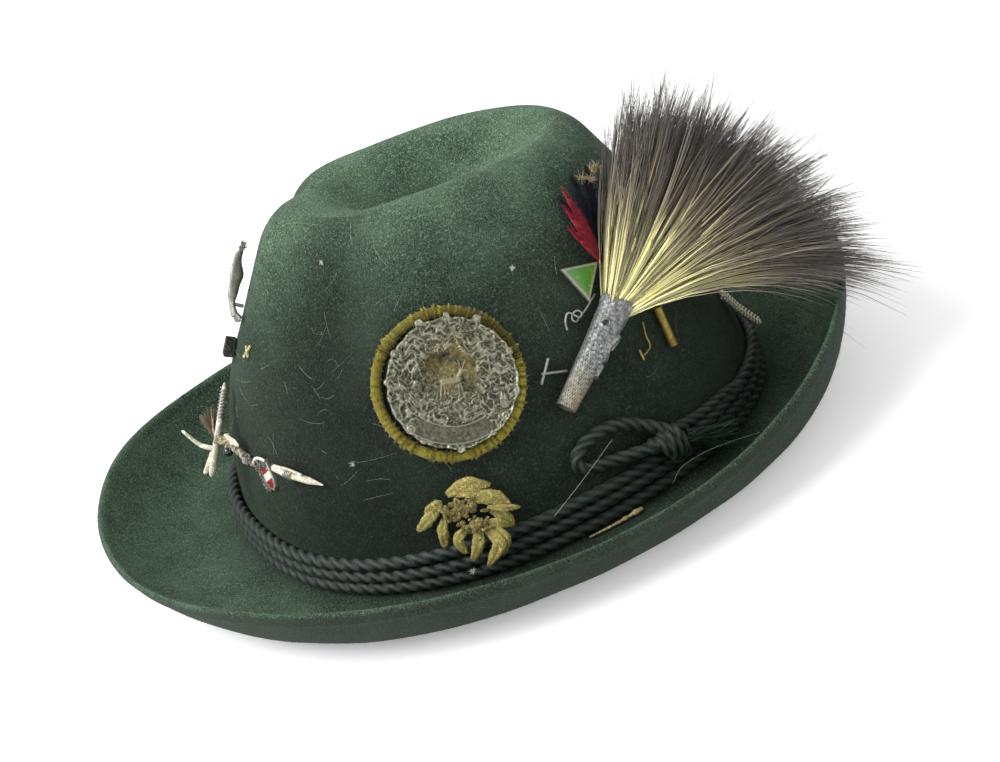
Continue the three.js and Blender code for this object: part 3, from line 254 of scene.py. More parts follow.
class FeltSettings(bpy.types.PropertyGroup):
    """Colours and nap of the felt."""
    shade: colour_property("Shade", "Felt between its fibres", (15, 21, 18))
    light: colour_property("Light", "Felt on its lighter fibres", (92, 114, 94))
    nap: colour_property("Nap", "Loose fibres that stand off the felt", (136, 158, 138))
    nap_count: IntProperty(name="Nap count", description="How many loose fibres there are", default=25000)
    nap_length: FloatProperty(name="Nap length", description="Longest loose fibre", default=0.0022,
                              unit="LENGTH")


class CordSettings(bpy.types.PropertyGroup):
    """Size and colours of the twisted cord."""
    radius: FloatProperty(name="Radius", description="Half the cord's thickness", default=0.00235,
                          unit="LENGTH")
    pitch: FloatProperty(name="Pitch", description="Length of one whole twist", default=0.0156, unit="LENGTH")
    # Shade is painted shade in the creases, light the strands' colour with painted light on their tops
    shade: colour_property("Shade", "Cord in its creases", (3, 5, 5))
    light: colour_property("Light", "Cord on its strands", (50, 67, 58))
    frayed: colour_property("Frayed", "Opened strands at the cord's end", (62, 78, 68))


class MedalSettings(bpy.types.PropertyGroup):
    """Relief and colours of the medal and its ring of pile."""
    relief: FloatProperty(name="Relief", description="Height of the picture", default=0.0011, unit="LENGTH")
    bare: colour_property("Metal", "Worn metal on the high places", (166, 166, 144))
    tarnish: colour_property("Tarnish", "Metal in the low places", (46, 45, 35))
    stain: colour_property("Stain", "Yellow stain near the top", (146, 132, 86))
    pile: colour_property("Pile", "Chenille round the medal", (158, 146, 58))


class FlowerSettings(bpy.types.PropertyGroup):
    """Colours of the dried flowers and the stalk."""
    wool: colour_property("Wool", "Petals", (180, 168, 100))
    heart: colour_property("Heart", "Middle of a flower", (156, 142, 92))
    straw: colour_property("Straw", "Dry stalk", (196, 182, 132))


class BrushSettings(bpy.types.PropertyGroup):
    """Hair and metal of the brush."""
    hair_count: IntProperty(name="Hair count", description="Hairs in each layer of the brush", default=2500)
    hair_radius: FloatProperty(name="Hair radius", description="Half a hair's thickness", default=0.000172,
                               unit="LENGTH")
    length: FloatProperty(name="Length", description="Length of the hair straight ahead", default=0.0955,
                          unit="LENGTH")
    root: colour_property("Root", "Hair near the holder", (254, 248, 184))
    middle: colour_property("Middle", "Hair half way along", (146, 134, 110))
    tip: colour_property("Tip", "Hair at its tips", (108, 102, 97))
    metal: colour_property("Metal", "Cast holder", (184, 188, 186))
    dirt: colour_property("Dirt", "Low places of the holder", (64, 66, 64))
    wire: colour_property("Wire", "Wires and pins", (206, 206, 198))
    brass: colour_property("Brass", "Small sleeve", (196, 172, 92))


class FeatherSettings(bpy.types.PropertyGroup):
    """Colours of the feathers."""
    red: colour_property("Red", "Dyed feathers", (150, 44, 58))
    dark: colour_property("Dark", "Feathers behind the brush", (26, 32, 44))
    cream: colour_property("Cream", "Downy bits", (190, 176, 142))


class BadgeSettings(bpy.types.PropertyGroup):
    """Colours of the pins and badges."""
    silver: colour_property("Silver", "Silvered metal", (190, 188, 178))
    silver_dark: colour_property("Dark silver", "Silvered metal in its low places", (60, 58, 52))
    green: colour_property("Green", "Green enamel", (64, 122, 42))
    red: colour_property("Red", "Red enamel", (132, 34, 40))
    white: colour_property("White", "White enamel", (222, 216, 202))
    bone: colour_property("Bone", "Carved sticks", (212, 207, 184))
    twig: colour_property("Twig", "Scaly twig", (186, 176, 148))
    bristle: colour_property("Bristle", "Stiff bristles", (112, 100, 84))


class StageSettings(bpy.types.PropertyGroup):
    """Camera, floor and light."""
    azimuth: FloatProperty(name="Azimuth", description="Camera's turn round the hat from its front",
                           default=69.418)
    elevation: FloatProperty(name="Elevation", description="Camera's height angle", default=26.709)
    roll: FloatProperty(name="Roll", description="Camera's tilt", default=-17.562)
    distance: FloatProperty(name="Distance", description="Camera's distance", default=0.8404, unit="LENGTH")
    lens: FloatProperty(name="Lens", description="Focal length in mm", default=78.45)
    shift_x: FloatProperty(name="Shift X", description="Sideways shift of the view", default=0.0364)
    shift_y: FloatProperty(name="Shift Y", description="Upward shift of the view", default=-0.0413)
    floor: colour_property("Floor", "Pale floor", (246, 246, 246))
    key: FloatProperty(name="Key", description="Strength of the main light, in watts", default=19.0)
    fill: FloatProperty(name="Fill", description="Strength of the side light, in watts", default=1.0)
    sky: FloatProperty(name="Sky", description="Strength of the light all round", default=0.75)


SETTINGS = {
    "hat_felt": FeltSettings, "hat_cord": CordSettings, "hat_medal": MedalSettings,
    "hat_flower": FlowerSettings, "hat_brush": BrushSettings, "hat_feather": FeatherSettings,
    "hat_badge": BadgeSettings, "hat_stage": StageSettings,
}


def vec(x, y, z):
    """Points from three arrays of coordinates that fit each other."""
    return np.stack(np.broadcast_arrays(x, y, z), axis=-1).astype(float)


def unit(vectors):
    """Vectors divided by their lengths."""
    return vectors / np.maximum(np.linalg.norm(vectors, axis=-1, keepdims=True), 1e-9)


def signed_power(value, exponent):
    """Power of a value's size, with the value's sign."""
    return np.sign(value) * np.abs(value) ** exponent


def mix(start, end, share):
    """Value that runs straight from start to end as share goes from 0 to 1."""
    return start + (end - start) * share


def bell(value, centre, width):
    """Bell curve: e to minus the square of the distance from its centre, counted in widths."""
    return np.exp(-((value - centre) / width) ** 2)


def half_circle(share):
    """Height of a half circle of radius 1 at a share of its radius, and 0 outside."""
    return np.sqrt(np.clip(1 - share ** 2, 0, 1))


def full_turn(count):
    """Angles of a whole turn in equal steps."""
    return 2 * np.pi * np.arange(count) / count


def scaled(colour, factor):
    """Colour times a factor, held at 1."""
    return tuple(min(1.0, factor * value) for value in colour)


def hermite(start, end, start_slope, end_slope, share):
    """Cubic through two values with the given slopes, at a share of the way."""
    square, cube = share ** 2, share ** 3
    return (start * (2 * cube - 3 * square + 1) + start_slope * (cube - 2 * square + share)
            + end * (3 * square - 2 * cube) + end_slope * (cube - square))


def folded(angle):
    """Angle from the front in degrees, the same on both sides of the hat."""
    turned = np.mod(angle, 360.0)
    return np.where(turned > 180.0, 360.0 - turned, turned)


def brim_value(angle, column):
    """A column of the brim's table, read by cubics through its rows and level at both ends."""
    table = BRIM_ROWS[:, column]
    last = len(table) - 1
    place = folded(angle) / BRIM_STEP
    index = np.minimum(place.astype(int), last - 1)
    start, end = table[index], table[index + 1]
    before = table[np.abs(index - 1)]
    after = table[np.where(index + 2 > last, last - 1, index + 2)]
    return hermite(start, end, (end - before) / 2, (after - start) / 2, place - index)


def oval(angle, front, back, half_width, squareness):
    """x and y of a squared oval: half sizes times powers 2 / squareness of sine and cosine."""
    sine, cosine = np.sin(np.radians(angle)), np.cos(np.radians(angle))
    half_length = np.where(cosine > 0, front, back)
    return (half_width * signed_power(sine, 2 / squareness),
            -half_length * signed_power(cosine, 2 / squareness))


def root_outward(angle):
    """Level direction away from the crown's foot: its oval's tangent turned by a quarter."""
    x0, y0 = oval(angle - 0.5, ROOT_FRONT, ROOT_BACK, ROOT_HALF_WIDTH, ROOT_SQUARENESS)
    x1, y1 = oval(angle + 0.5, ROOT_FRONT, ROOT_BACK, ROOT_HALF_WIDTH, ROOT_SQUARENESS)
    return unit(vec(y1 - y0, x0 - x1, 0.0))


def pinch_bell(angle):
    """Bell curve round the middle of each front pinch."""
    return bell(folded(angle), PINCH_ANGLE, PINCH_SPREAD)


def crest_height(angle):
    """Height of the crest: higher at the front, and lowered at the pinches."""
    return ((CREST_FRONT + CREST_BACK) / 2 + (CREST_FRONT - CREST_BACK) / 2 * np.cos(np.radians(angle))
            - PINCH_DROP * pinch_bell(angle))


def wall_point(angle, level):
    """Crown wall: an oval that narrows with a power of level, pulled in at the pinches and the shoulder."""
    angle, level = np.broadcast_arrays(np.asarray(angle, float), np.asarray(level, float))
    x, y = oval(angle, mix(ROOT_FRONT, CREST_HALF_FRONT, level ** FRONT_TAPER),
                mix(ROOT_BACK, CREST_HALF_BACK, level ** BACK_TAPER),
                mix(ROOT_HALF_WIDTH, CREST_HALF_WIDTH, level ** SIDE_TAPER),
                mix(ROOT_SQUARENESS, CREST_SQUARENESS, level))
    pinch = 1 - PINCH_DEPTH * pinch_bell(angle) * bell(level, PINCH_LEVEL, PINCH_REACH)
    rounding = np.clip((level - 1 + SHOULDER_SHARE) / SHOULDER_SHARE, 0, 1)
    inset = SHOULDER_INSET * (1 - np.sqrt(1 - rounding ** 2))
    scale = pinch * (1 - inset / np.hypot(x, y))
    return vec(x * scale, y * scale, mix(ROOT_LIFT, crest_height(angle), level))


def top_point(angle, reach):
    """Top of the crown: from the dent's middle at reach 0, up half a cosine wave to the crest at reach 1."""
    crest = wall_point(angle, 1.0)
    floor = (CREST_FRONT + CREST_BACK) / 2 - DENT_DEPTH
    bump = (1 - np.cos(np.pi * reach)) / 2
    return vec(crest[..., 0] * reach, DENT_CENTRE + (crest[..., 1] - DENT_CENTRE) * reach,
               mix(floor, crest[..., 2], bump))


def brim_point(angle, reach):
    """Brim: a parabola from the crown's foot through a dip to the raised edge."""
    width, rise = BRIM_WIDTH * brim_value(angle, 0), BRIM_RISE * brim_value(angle, 1)
    dip = -BRIM_DIP * brim_value(angle, 2)
    control = CURL_START - CURL_SHIFT * np.cos(np.radians(angle))
    first, second, third = (1 - reach) ** 2, 2 * reach * (1 - reach), reach ** 2
    x, y = oval(angle, ROOT_FRONT, ROOT_BACK, ROOT_HALF_WIDTH, ROOT_SQUARENESS)
    out = root_outward(angle) * (width * (second * control + third))[..., None]
    return vec(x, y, first * ROOT_LIFT + second * dip + third * rise) + out


def wall_normal(angle, level):
    """Direction out of the crown wall: the cross of its two tangents."""
    low = np.maximum(level - 0.004, 0.0)
    along = wall_point(angle + 0.5, level) - wall_point(angle - 0.5, level)
    up = wall_point(angle, low + 0.008) - wall_point(angle, low)
    return unit(np.cross(along, up))


def on_wall(angle, level, lift):
    """Point that stands off the crown wall."""
    angle, level = np.asarray(angle, float), np.asarray(level, float)
    return wall_point(angle, level) + wall_normal(angle, level) * np.asarray(lift, float)[..., None]


def wall_path(rows):
    """Points of a table of angle, level and lift."""
    table = np.array([row[:3] for row in rows], float)
    return on_wall(table[:, 0], table[:, 1], table[:, 2])


def wall_basis(angle, level, lift, turn=0.0):
    """Origin and axes of a place on the wall: level towards the back, up the wall, and out of it."""
    outward = wall_normal(angle, level)
    along = unit(np.array([-outward[1], outward[0], 0.0]))
    up = np.cross(outward, along)
    cosine, sine = np.cos(np.radians(turn)), np.sin(np.radians(turn))
    axes = np.stack([along * cosine + up * sine, up * cosine - along * sine, outward])
    return on_wall(angle, level, lift), axes


def placed(local, basis):
    """Points in the hat's frame from points in a place's own frame."""
    return basis[0] + local @ basis[1]


def drop_on_wall(points, outward):
    """Points moved along outward until they lie on the crown wall, by halving the step."""
    near, far = np.full(len(points), -20.0), np.full(len(points), 20.0)
    for _ in range(24):
        middle = (near + far) / 2
        moved = points + outward * middle[:, None]
        angle = np.degrees(np.arctan2(moved[:, 0] / ROOT_HALF_WIDTH, -moved[:, 1] / ROOT_FRONT))
        for _ in range(5):
            level = np.clip((moved[:, 2] - ROOT_LIFT) / (crest_height(angle) - ROOT_LIFT), 0, 0.9)
            wall = wall_point(angle, level)
            turned = np.arctan2(moved[:, 0], -moved[:, 1]) - np.arctan2(wall[:, 0], -wall[:, 1])
            angle = angle + np.degrees(np.arctan2(np.sin(turned), np.cos(turned)))
        wall = wall_point(angle, level)
        inside = np.hypot(moved[:, 0], moved[:, 1]) < np.hypot(wall[:, 0], wall[:, 1])
        near, far = np.where(inside, middle, near), np.where(inside, far, middle)
    return points + outward * far[:, None]


def ripple(points, scale, seed):
    """Smooth noise from -1 to 1: the mean of seven sine waves in random directions."""
    waves = 7
    rng = np.random.default_rng(seed)
    ways = unit(rng.normal(size=(waves, 3))) * scale * rng.uniform(0.6, 1.5, (waves, 1))
    return np.sin(points @ ways.T + rng.uniform(0, 6.28, waves)).mean(axis=-1) * 1.8


def smooth_path(points, count):
    """Evenly spaced points along a cubic curve through the given ones."""
    points = np.asarray(points, float)
    slopes = np.gradient(points, axis=0)
    place = np.linspace(0, len(points) - 1, 16 * count)
    index = np.minimum(place.astype(int), len(points) - 2)
    fine = hermite(points[index], points[index + 1], slopes[index], slopes[index + 1],
                   (place - index)[:, None])
    length = run_length(fine)
    even = np.linspace(0, length[-1], count)
    return np.stack([np.interp(even, length, fine[:, axis]) for axis in range(3)], axis=1)


def wall_curve(rows, count):
    """Even curve through a table of angle, level and lift."""
    return smooth_path(wall_path(rows), count)


def run_length(path):
    """Distance along a path at each of its points."""
    steps = np.linalg.norm(np.diff(path, axis=0), axis=1)
    return np.concatenate([[0.0], np.cumsum(steps)])


def grid_shape(points, wrap_rows=False, mask=None, stretch=(1.0, 1.0)):
    """Mesh of a grid of points in rows and columns that run round; fans close its first and last rows."""
    rows, columns = points.shape[:2]
    row, column = np.meshgrid(np.arange(rows if wrap_rows else rows - 1), np.arange(columns), indexing="ij")
    row, column = row.ravel(), column.ravel()
    corner_rows = np.stack([row, row, row + 1, row + 1], 1)
    corner_columns = np.stack([column, column + 1, column + 1, column], 1)
    quads = (corner_rows % rows) * columns + corner_columns % columns
    span = np.array([columns, rows if wrap_rows else rows - 1])
    quad_uv = np.stack([corner_columns, corner_rows], -1) / span * np.array(stretch)
    flat = points.reshape(-1, 3)
    mask = np.zeros(rows * columns) if mask is None else np.broadcast_to(mask, (rows, columns)).ravel()
    tris, tri_uv = np.zeros((0, 3), int), np.zeros((0, 3, 2))
    if not wrap_rows:
        flat = np.concatenate([flat, points[[0, -1]].mean(axis=1)])
        mask = np.concatenate([mask, [mask[0], mask[-1]]])
        side = np.arange(columns)
        after = (side + 1) % columns
        base = (rows - 1) * columns
        start, end = np.full(columns, rows * columns), np.full(columns, rows * columns + 1)
        tris = np.concatenate([np.stack([start, after, side], 1),
                               np.stack([end, base + side, base + after], 1)])
        tri_uv = np.zeros((2 * columns, 3, 2))
        tri_uv[:, :, 0] = np.tile(side / columns, 2)[:, None]
        tri_uv[columns:, :, 1] = stretch[1]
    return {"points": flat, "quads": quads, "quad_uv": quad_uv, "tris": tris, "tri_uv": tri_uv, "mask": mask}


def join(shapes):
    """One mesh of several."""
    offsets = np.cumsum([0] + [len(shape["points"]) for shape in shapes[:-1]])
    joined = {key: np.concatenate([shape[key] for shape in shapes])
              for key in ("points", "quad_uv", "tri_uv", "mask")}
    for key in ("quads", "tris"):
        joined[key] = np.concatenate([shape[key] + offset for shape, offset in zip(shapes, offsets)])
    return joined


def outward_faces(shape):
    """The same closed mesh with its faces turned out, by the sign of its volume."""
    points = shape["points"] - shape["points"].mean(axis=0)
    quads, tris = points[shape["quads"]], points[shape["tris"]]
    volume = (np.einsum("ij,ij->", quads[:, 0], np.cross(quads[:, 1], quads[:, 2]))
              + np.einsum("ij,ij->", quads[:, 0], np.cross(quads[:, 2], quads[:, 3]))
              + np.einsum("ij,ij->", tris[:, 0], np.cross(tris[:, 1], tris[:, 2])))
    if volume < 0:
        for faces, corners in (("quads", "quad_uv"), ("tris", "tri_uv")):
            shape[faces], shape[corners] = shape[faces][:, ::-1], shape[corners][:, ::-1]
    return shape


def path_axes(path, outward, closed=False):
    """Directions across and up at each point of a path, from its tangent and a rough outward direction."""
    along = unit(np.roll(path, -1, 0) - np.roll(path, 1, 0)) if closed else unit(np.gradient(path, axis=0))
    across = unit(np.cross(along, outward))
    return across, np.cross(across, along)


def ring_sizes(value, rows, sides):
    """A size given once, for each row, or for each row and side, spread over rows and sides."""
    value = np.asarray(value, float)
    return np.broadcast_to(value[:, None] if value.ndim == 1 else value, (rows, sides))


def tube(path, outward, width, height=None, sides=12, closed=False, mask=None, stretch=(1.0, 1.0)):
    """Oval carried along a path: width times cosine across it plus height times sine along outward."""
    across, up = path_axes(path, outward, closed)
    turn = full_turn(sides)
    width = ring_sizes(width, len(path), sides)
    height = width if height is None else ring_sizes(height, len(path), sides)
    points = (path[:, None] + across[:, None] * (width * np.cos(turn))[..., None]
              + up[:, None] * (height * np.sin(turn))[..., None])
    return outward_faces(grid_shape(points, wrap_rows=closed, mask=mask, stretch=stretch))


def strands(paths, radius, reference, sides=3, tone=None):
    """Many threads at once: a small polygon carried along each path and closed at both ends."""
    count, steps = paths.shape[:2]
    along = unit(np.gradient(paths, axis=1))
    across = unit(np.cross(along, reference))
    up = np.cross(across, along)
    turn = full_turn(sides)
    size = np.broadcast_to(radius, (count, steps))[..., None, None]
    ring = paths[:, :, None] + size * (across[:, :, None] * np.cos(turn)[:, None]
                                       + up[:, :, None] * np.sin(turn)[:, None])
    base = (np.arange(count) * steps * sides)[:, None, None]
    step, side = np.arange(steps - 1)[None, :, None] * sides, np.arange(sides)[None, None, :]
    after = (side + 1) % sides
    quads = np.stack(np.broadcast_arrays(base + step + side, base + step + after,
                                         base + step + sides + after, base + step + sides + side), -1)
    fan = np.arange(1, sides - 1)
    zero = np.zeros_like(fan)
    start = np.stack([zero, fan + 1, fan], 1)
    end = np.stack([zero, fan, fan + 1], 1) + (steps - 1) * sides
    tris = (np.concatenate([start, end])[None] + base).reshape(-1, 3)
    tone = np.linspace(0, 1, count) if tone is None else tone
    share = np.linspace(0, 1, steps)
    quad_uv = np.zeros((count, steps - 1, sides, 4, 2))
    quad_uv[..., 0] = tone[:, None, None, None]
    quad_uv[..., 1] = np.stack([share[:-1], share[:-1], share[1:], share[1:]], -1)[None, :, None]
    tri_uv = np.zeros((count, 2 * len(fan), 3, 2))
    tri_uv[..., 0] = tone[:, None, None]
    tri_uv[:, len(fan):, :, 1] = 1.0
    shape = {"points": ring.reshape(-1, 3), "quads": quads.reshape(-1, 4),
             "quad_uv": quad_uv.reshape(-1, 4, 2), "tris": tris, "tri_uv": tri_uv.reshape(-1, 3, 2),
             "mask": np.zeros(count * steps * sides)}
    return outward_faces(shape)


def spikes(roots, tips, radius, tone):
    """Many slim pyramids: three corners round each root and one at its tip."""
    count = len(roots)
    along = unit(tips - roots)
    across = unit(np.cross(along, np.array([0.31, 0.22, 0.93])))
    up = np.cross(across, along)
    turn = full_turn(3)
    ring = roots[:, None] + radius * (across[:, None] * np.cos(turn)[:, None]
                                      + up[:, None] * np.sin(turn)[:, None])
    points = np.concatenate([ring, tips[:, None]], axis=1).reshape(-1, 3)
    corner = np.array([[0, 1, 3], [1, 2, 3], [2, 0, 3], [0, 2, 1]])
    tris = (np.arange(count)[:, None, None] * 4 + corner).reshape(-1, 3)
    tri_uv = np.zeros((count, 4, 3, 2))
    tri_uv[..., 0] = tone[:, None, None]
    tri_uv[:, :3, 2, 1] = 1.0
    shape = {"points": points, "quads": np.zeros((0, 4), int), "quad_uv": np.zeros((0, 4, 2)),
             "tris": tris, "tri_uv": tri_uv.reshape(-1, 3, 2), "mask": np.zeros(4 * count)}
    return outward_faces(shape)


def beads(centres, radii, squash, axis, rings, sides):
    """Many small balls: rings of latitude round each centre, flattened along an axis."""
    tilt = np.pi * (np.arange(rings) + 0.5) / rings
    turn = full_turn(sides)
    ball = vec(np.sin(tilt)[:, None] * np.cos(turn), np.sin(tilt)[:, None] * np.sin(turn),
               np.cos(tilt)[:, None] * squash)
    axis = unit(np.array(axis, float))
    across = unit(np.cross(axis, np.array([0.2, 0.5, 0.8])))
    ball = ball @ np.stack([across, np.cross(axis, across), axis])
    return join([outward_faces(grid_shape(centre + radius * ball))
                 for centre, radius in zip(np.atleast_2d(centres), np.atleast_1d(radii))])


def plate(outline, bottom, top, bevel, dome=0.0):
    """Flat piece with a rounded upper edge: rings of an outline drawn in towards its middle."""
    outline = np.asarray(outline, float)
    middle = outline.mean(axis=0)
    reach = np.linalg.norm(outline - middle, axis=1).max()
    rings = 6
    inset = bevel * (1 - np.cos(np.linspace(0, np.pi / 2, rings)))
    rise = top - bevel + bevel * np.sin(np.linspace(0, np.pi / 2, rings))
    rows = [vec(outline[:, 0], outline[:, 1], bottom)]
    for step, height in zip(inset, rise):
        ring = middle + (outline - middle) * (1 - step / reach)
        rows.append(vec(ring[:, 0], ring[:, 1], height))
    for share in np.linspace(0.9, 0.1, rings):
        ring = middle + (outline - middle) * (1 - bevel / reach) * share
        rows.append(vec(ring[:, 0], ring[:, 1], top + dome * (1 - share ** 2)))
    return grid_shape(np.stack(rows))


def rounded(corners, radius):
    """Outline with its corners cut round: a parabola between points short of each corner."""
    corners = np.asarray(corners, float)
    before, after = unit(np.roll(corners, 1, 0) - corners), unit(np.roll(corners, -1, 0) - corners)
    share = np.linspace(0, 1, 5)[:, None, None]
    points = (corners + before * radius) * (1 - share) ** 2 + corners * 2 * share * (1 - share) \
        + (corners + after * radius) * share ** 2
    return points.transpose(1, 0, 2).reshape(-1, 2)


def subdivided(outline, spacing):
    """Outline with points added so that none lie further apart than spacing."""
    pieces = []
    for start, end in zip(outline, np.roll(outline, -1, 0)):
        count = max(1, int(np.ceil(np.linalg.norm(end - start) / spacing)))
        pieces.append(mix(start, end, (np.arange(count) / count)[:, None]))
    return np.concatenate(pieces)


def make_piece(name, shape, material, replaces=()):
    """Object of a mesh in metres that rides with the hat and takes the place of CAD nodes."""
    loops = np.concatenate([shape["quads"].ravel(), shape["tris"].ravel()])
    quad_count, tri_count = len(shape["quads"]), len(shape["tris"])
    starts = np.concatenate([4 * np.arange(quad_count), 4 * quad_count + 3 * np.arange(tri_count)])
    points = (shape["points"] + SHIFT) * MM
    mesh = bpy.data.meshes.new(name)
    mesh.vertices.add(len(points))
    mesh.vertices.foreach_set("co", points.ravel())
    mesh.loops.add(len(loops))
    mesh.loops.foreach_set("vertex_index", loops.astype(np.int32))
    mesh.polygons.add(len(starts))
    mesh.polygons.foreach_set("loop_start", starts.astype(np.int32))
    mesh.update(calc_edges=True)
    uv = np.concatenate([shape["quad_uv"].reshape(-1, 2), shape["tri_uv"].reshape(-1, 2)])
    mesh.uv_layers.new(name="UVMap").data.foreach_set("uv", uv.ravel())
    mesh.attributes.new("mask", "FLOAT", "POINT").data.foreach_set("value", shape["mask"].astype(np.float32))
    mesh.polygons.foreach_set("use_smooth", np.ones(len(starts), bool))
    mesh.materials.append(material)
    piece = bpy.data.objects.new(name, mesh)
    bpy.context.scene.collection.objects.link(piece)
    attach(piece, "root")
    if replaces:
        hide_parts(*replaces)


def dress_node(name, material):
    """Gives a CAD node its finish."""
    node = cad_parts[name]
    if not node.material_slots:
        node.data.materials.append(material)
    for slot in node.material_slots:
        slot.material = material


def add_node(tree, kind, inputs=None, **settings):
    """Shader node with its settings; an input takes a value or another node's socket."""
    node = tree.nodes.new("ShaderNode" + kind)
    for key, value in settings.items():
        setattr(node, key, value)
    for key, value in (inputs or {}).items():
        socket = node.inputs[key]
        if isinstance(value, bpy.types.NodeSocket):
            tree.links.new(value, socket)
        elif socket.type == "RGBA" and len(value) == 3:
            socket.default_value = (*value, 1.0)
        else:
            socket.default_value = value
    return node


def add_math(tree, operation, first, second=0.0, clamp=False):
    """Result of one operation on two values."""
    return add_node(tree, "Math", {0: first, 1: second}, operation=operation, use_clamp=clamp).outputs[0]


def add_range(tree, value, low, high, to_low=0.0, to_high=1.0):
    """Value stretched from one range to another and held at its ends."""
    return add_node(tree, "MapRange", {"Value": value, "From Min": low, "From Max": high,
                                       "To Min": to_low, "To Max": to_high}).outputs["Result"]


def add_mix(tree, share, first, second, blend="MIX"):
    """Mix of two colours."""
    return add_node(tree, "MixRGB", {"Fac": share, "Color1": first, "Color2": second},
                    blend_type=blend).outputs["Color"]


def add_product(tree, colour, factor):
    """Colour multiplied by a factor."""
    return add_mix(tree, 1.0, colour, factor, "MULTIPLY")


def add_noise(tree, vector, scale, detail=3.0, roughness=0.6):
    """Layered noise from 0 to 1 at a place."""
    return add_node(tree, "TexNoise", {"Vector": vector, "Scale": scale, "Detail": detail,
                                       "Roughness": roughness}).outputs["Fac"]


def add_stretch(tree, vector, scale, rotation=(0.0, 0.0, 0.0)):
    """Place turned and then scaled along its axes."""
    return add_node(tree, "Mapping", {"Vector": vector, "Scale": scale,
                                      "Rotation": rotation}).outputs["Vector"]


def object_place(tree):
    """Place in the object's own frame, in metres."""
    return add_node(tree, "TexCoord").outputs["Object"]


def surface_place(tree):
    """Place in the piece's UV map."""
    return add_node(tree, "TexCoord").outputs["UV"]


def mask_value(tree):
    """Value that the piece carries at each point."""
    return add_node(tree, "Attribute", attribute_name="mask").outputs["Fac"]


def new_material(name, roughness=0.6, metallic=0.0, **constants):
    """Material with one shader; constants go on the shader's own sockets."""
    material = bpy.data.materials.new(name)
    material.use_nodes = True
    tree = material.node_tree
    tree.nodes.clear()
    output = tree.nodes.new("ShaderNodeOutputMaterial")
    shader = tree.nodes.new("ShaderNodeBsdfPrincipled")
    tree.links.new(shader.outputs["BSDF"], output.inputs["Surface"])
    shader.inputs["Roughness"].default_value = roughness
    shader.inputs["Metallic"].default_value = metallic
    for key, value in constants.items():
        shader.inputs[key.replace("_", " ").title()].default_value = value
    return material, tree, shader


def feed_colour(tree, shader, colour, with_painted_light):
    """Colour on the shader, multiplied by the piece's mask as painted light and shade where the flag is set.
    """
    colour = add_product(tree, colour, mask_value(tree)) if with_painted_light else colour
    tree.links.new(colour, shader.inputs["Base Color"])


def add_bump(tree, shader, height, strength, distance):
    """Bump of a height onto the shader's normal; distance is in metres."""
    bump = add_node(tree, "Bump", {"Height": height, "Strength": strength, "Distance": distance})
    tree.links.new(bump.outputs["Normal"], shader.inputs["Normal"])


def new_group(name, inputs, outputs):
    """Shader node group with named sockets."""
    tree = bpy.data.node_groups.new(name, "ShaderNodeTree")
    for label, kind, default in inputs:
        socket = tree.interface.new_socket(label, in_out="INPUT", socket_type="NodeSocket" + kind)
        if default is not None:
            socket.default_value = default
    for label, kind in outputs:
        tree.interface.new_socket(label, in_out="OUTPUT", socket_type="NodeSocket" + kind)
    return tree, tree.nodes.new("NodeGroupInput"), tree.nodes.new("NodeGroupOutput")


def fibre_group():
    """Matted fibres: short streaks of noise in three directions over a fine mottle."""
    tree, start, end = new_group("Matted Fibres", [
        ("Vector", "Vector", None), ("Scale", "Float", 900.0),
        ("Shade", "Color", None), ("Light", "Color", None),
    ], [("Color", "Color"), ("Height", "Float")])
    place, scale = start.outputs["Vector"], start.outputs["Scale"]
    mottle = add_noise(tree, place, scale, 4.0, 0.7)
    cloud = add_noise(tree, place, add_math(tree, "MULTIPLY", scale, 0.02), 4.0, 0.6)
    streaks = None
    for squeeze, turn in (((1, 0.22, 0.5), (0.3, 0.2, 0.9)), ((0.26, 1, 0.5), (0.8, 0.4, 0.1)),
                          ((0.5, 0.9, 0.2), (0.2, 0.9, 0.4))):
        stretched = add_stretch(tree, place, squeeze, turn)
        streak = add_range(tree, add_noise(tree, stretched, scale, 2.0, 0.5), 0.6, 0.78)
        streaks = streak if streaks is None else add_math(tree, "MAXIMUM", streaks, streak)
    share = add_math(tree, "ADD", add_range(tree, mottle, 0.4, 0.66, 0.0, 0.85),
                     add_range(tree, cloud, 0.35, 0.7, -0.16, 0.2), clamp=True)
    colour = add_mix(tree, share, start.outputs["Shade"], start.outputs["Light"])
    bright = add_product(tree, start.outputs["Light"], (2.0, 2.0, 2.0))
    speck = add_range(tree, add_noise(tree, place, add_math(tree, "MULTIPLY", scale, 2.1), 1.0), 0.62, 0.74)
    colour = add_mix(tree, add_math(tree, "MAXIMUM", streaks, speck), colour, bright)
    tree.links.new(colour, end.inputs["Color"])
    height = add_math(tree, "ADD", mottle, add_math(tree, "MULTIPLY", streaks, 0.5))
    tree.links.new(height, end.inputs["Height"])
    return tree


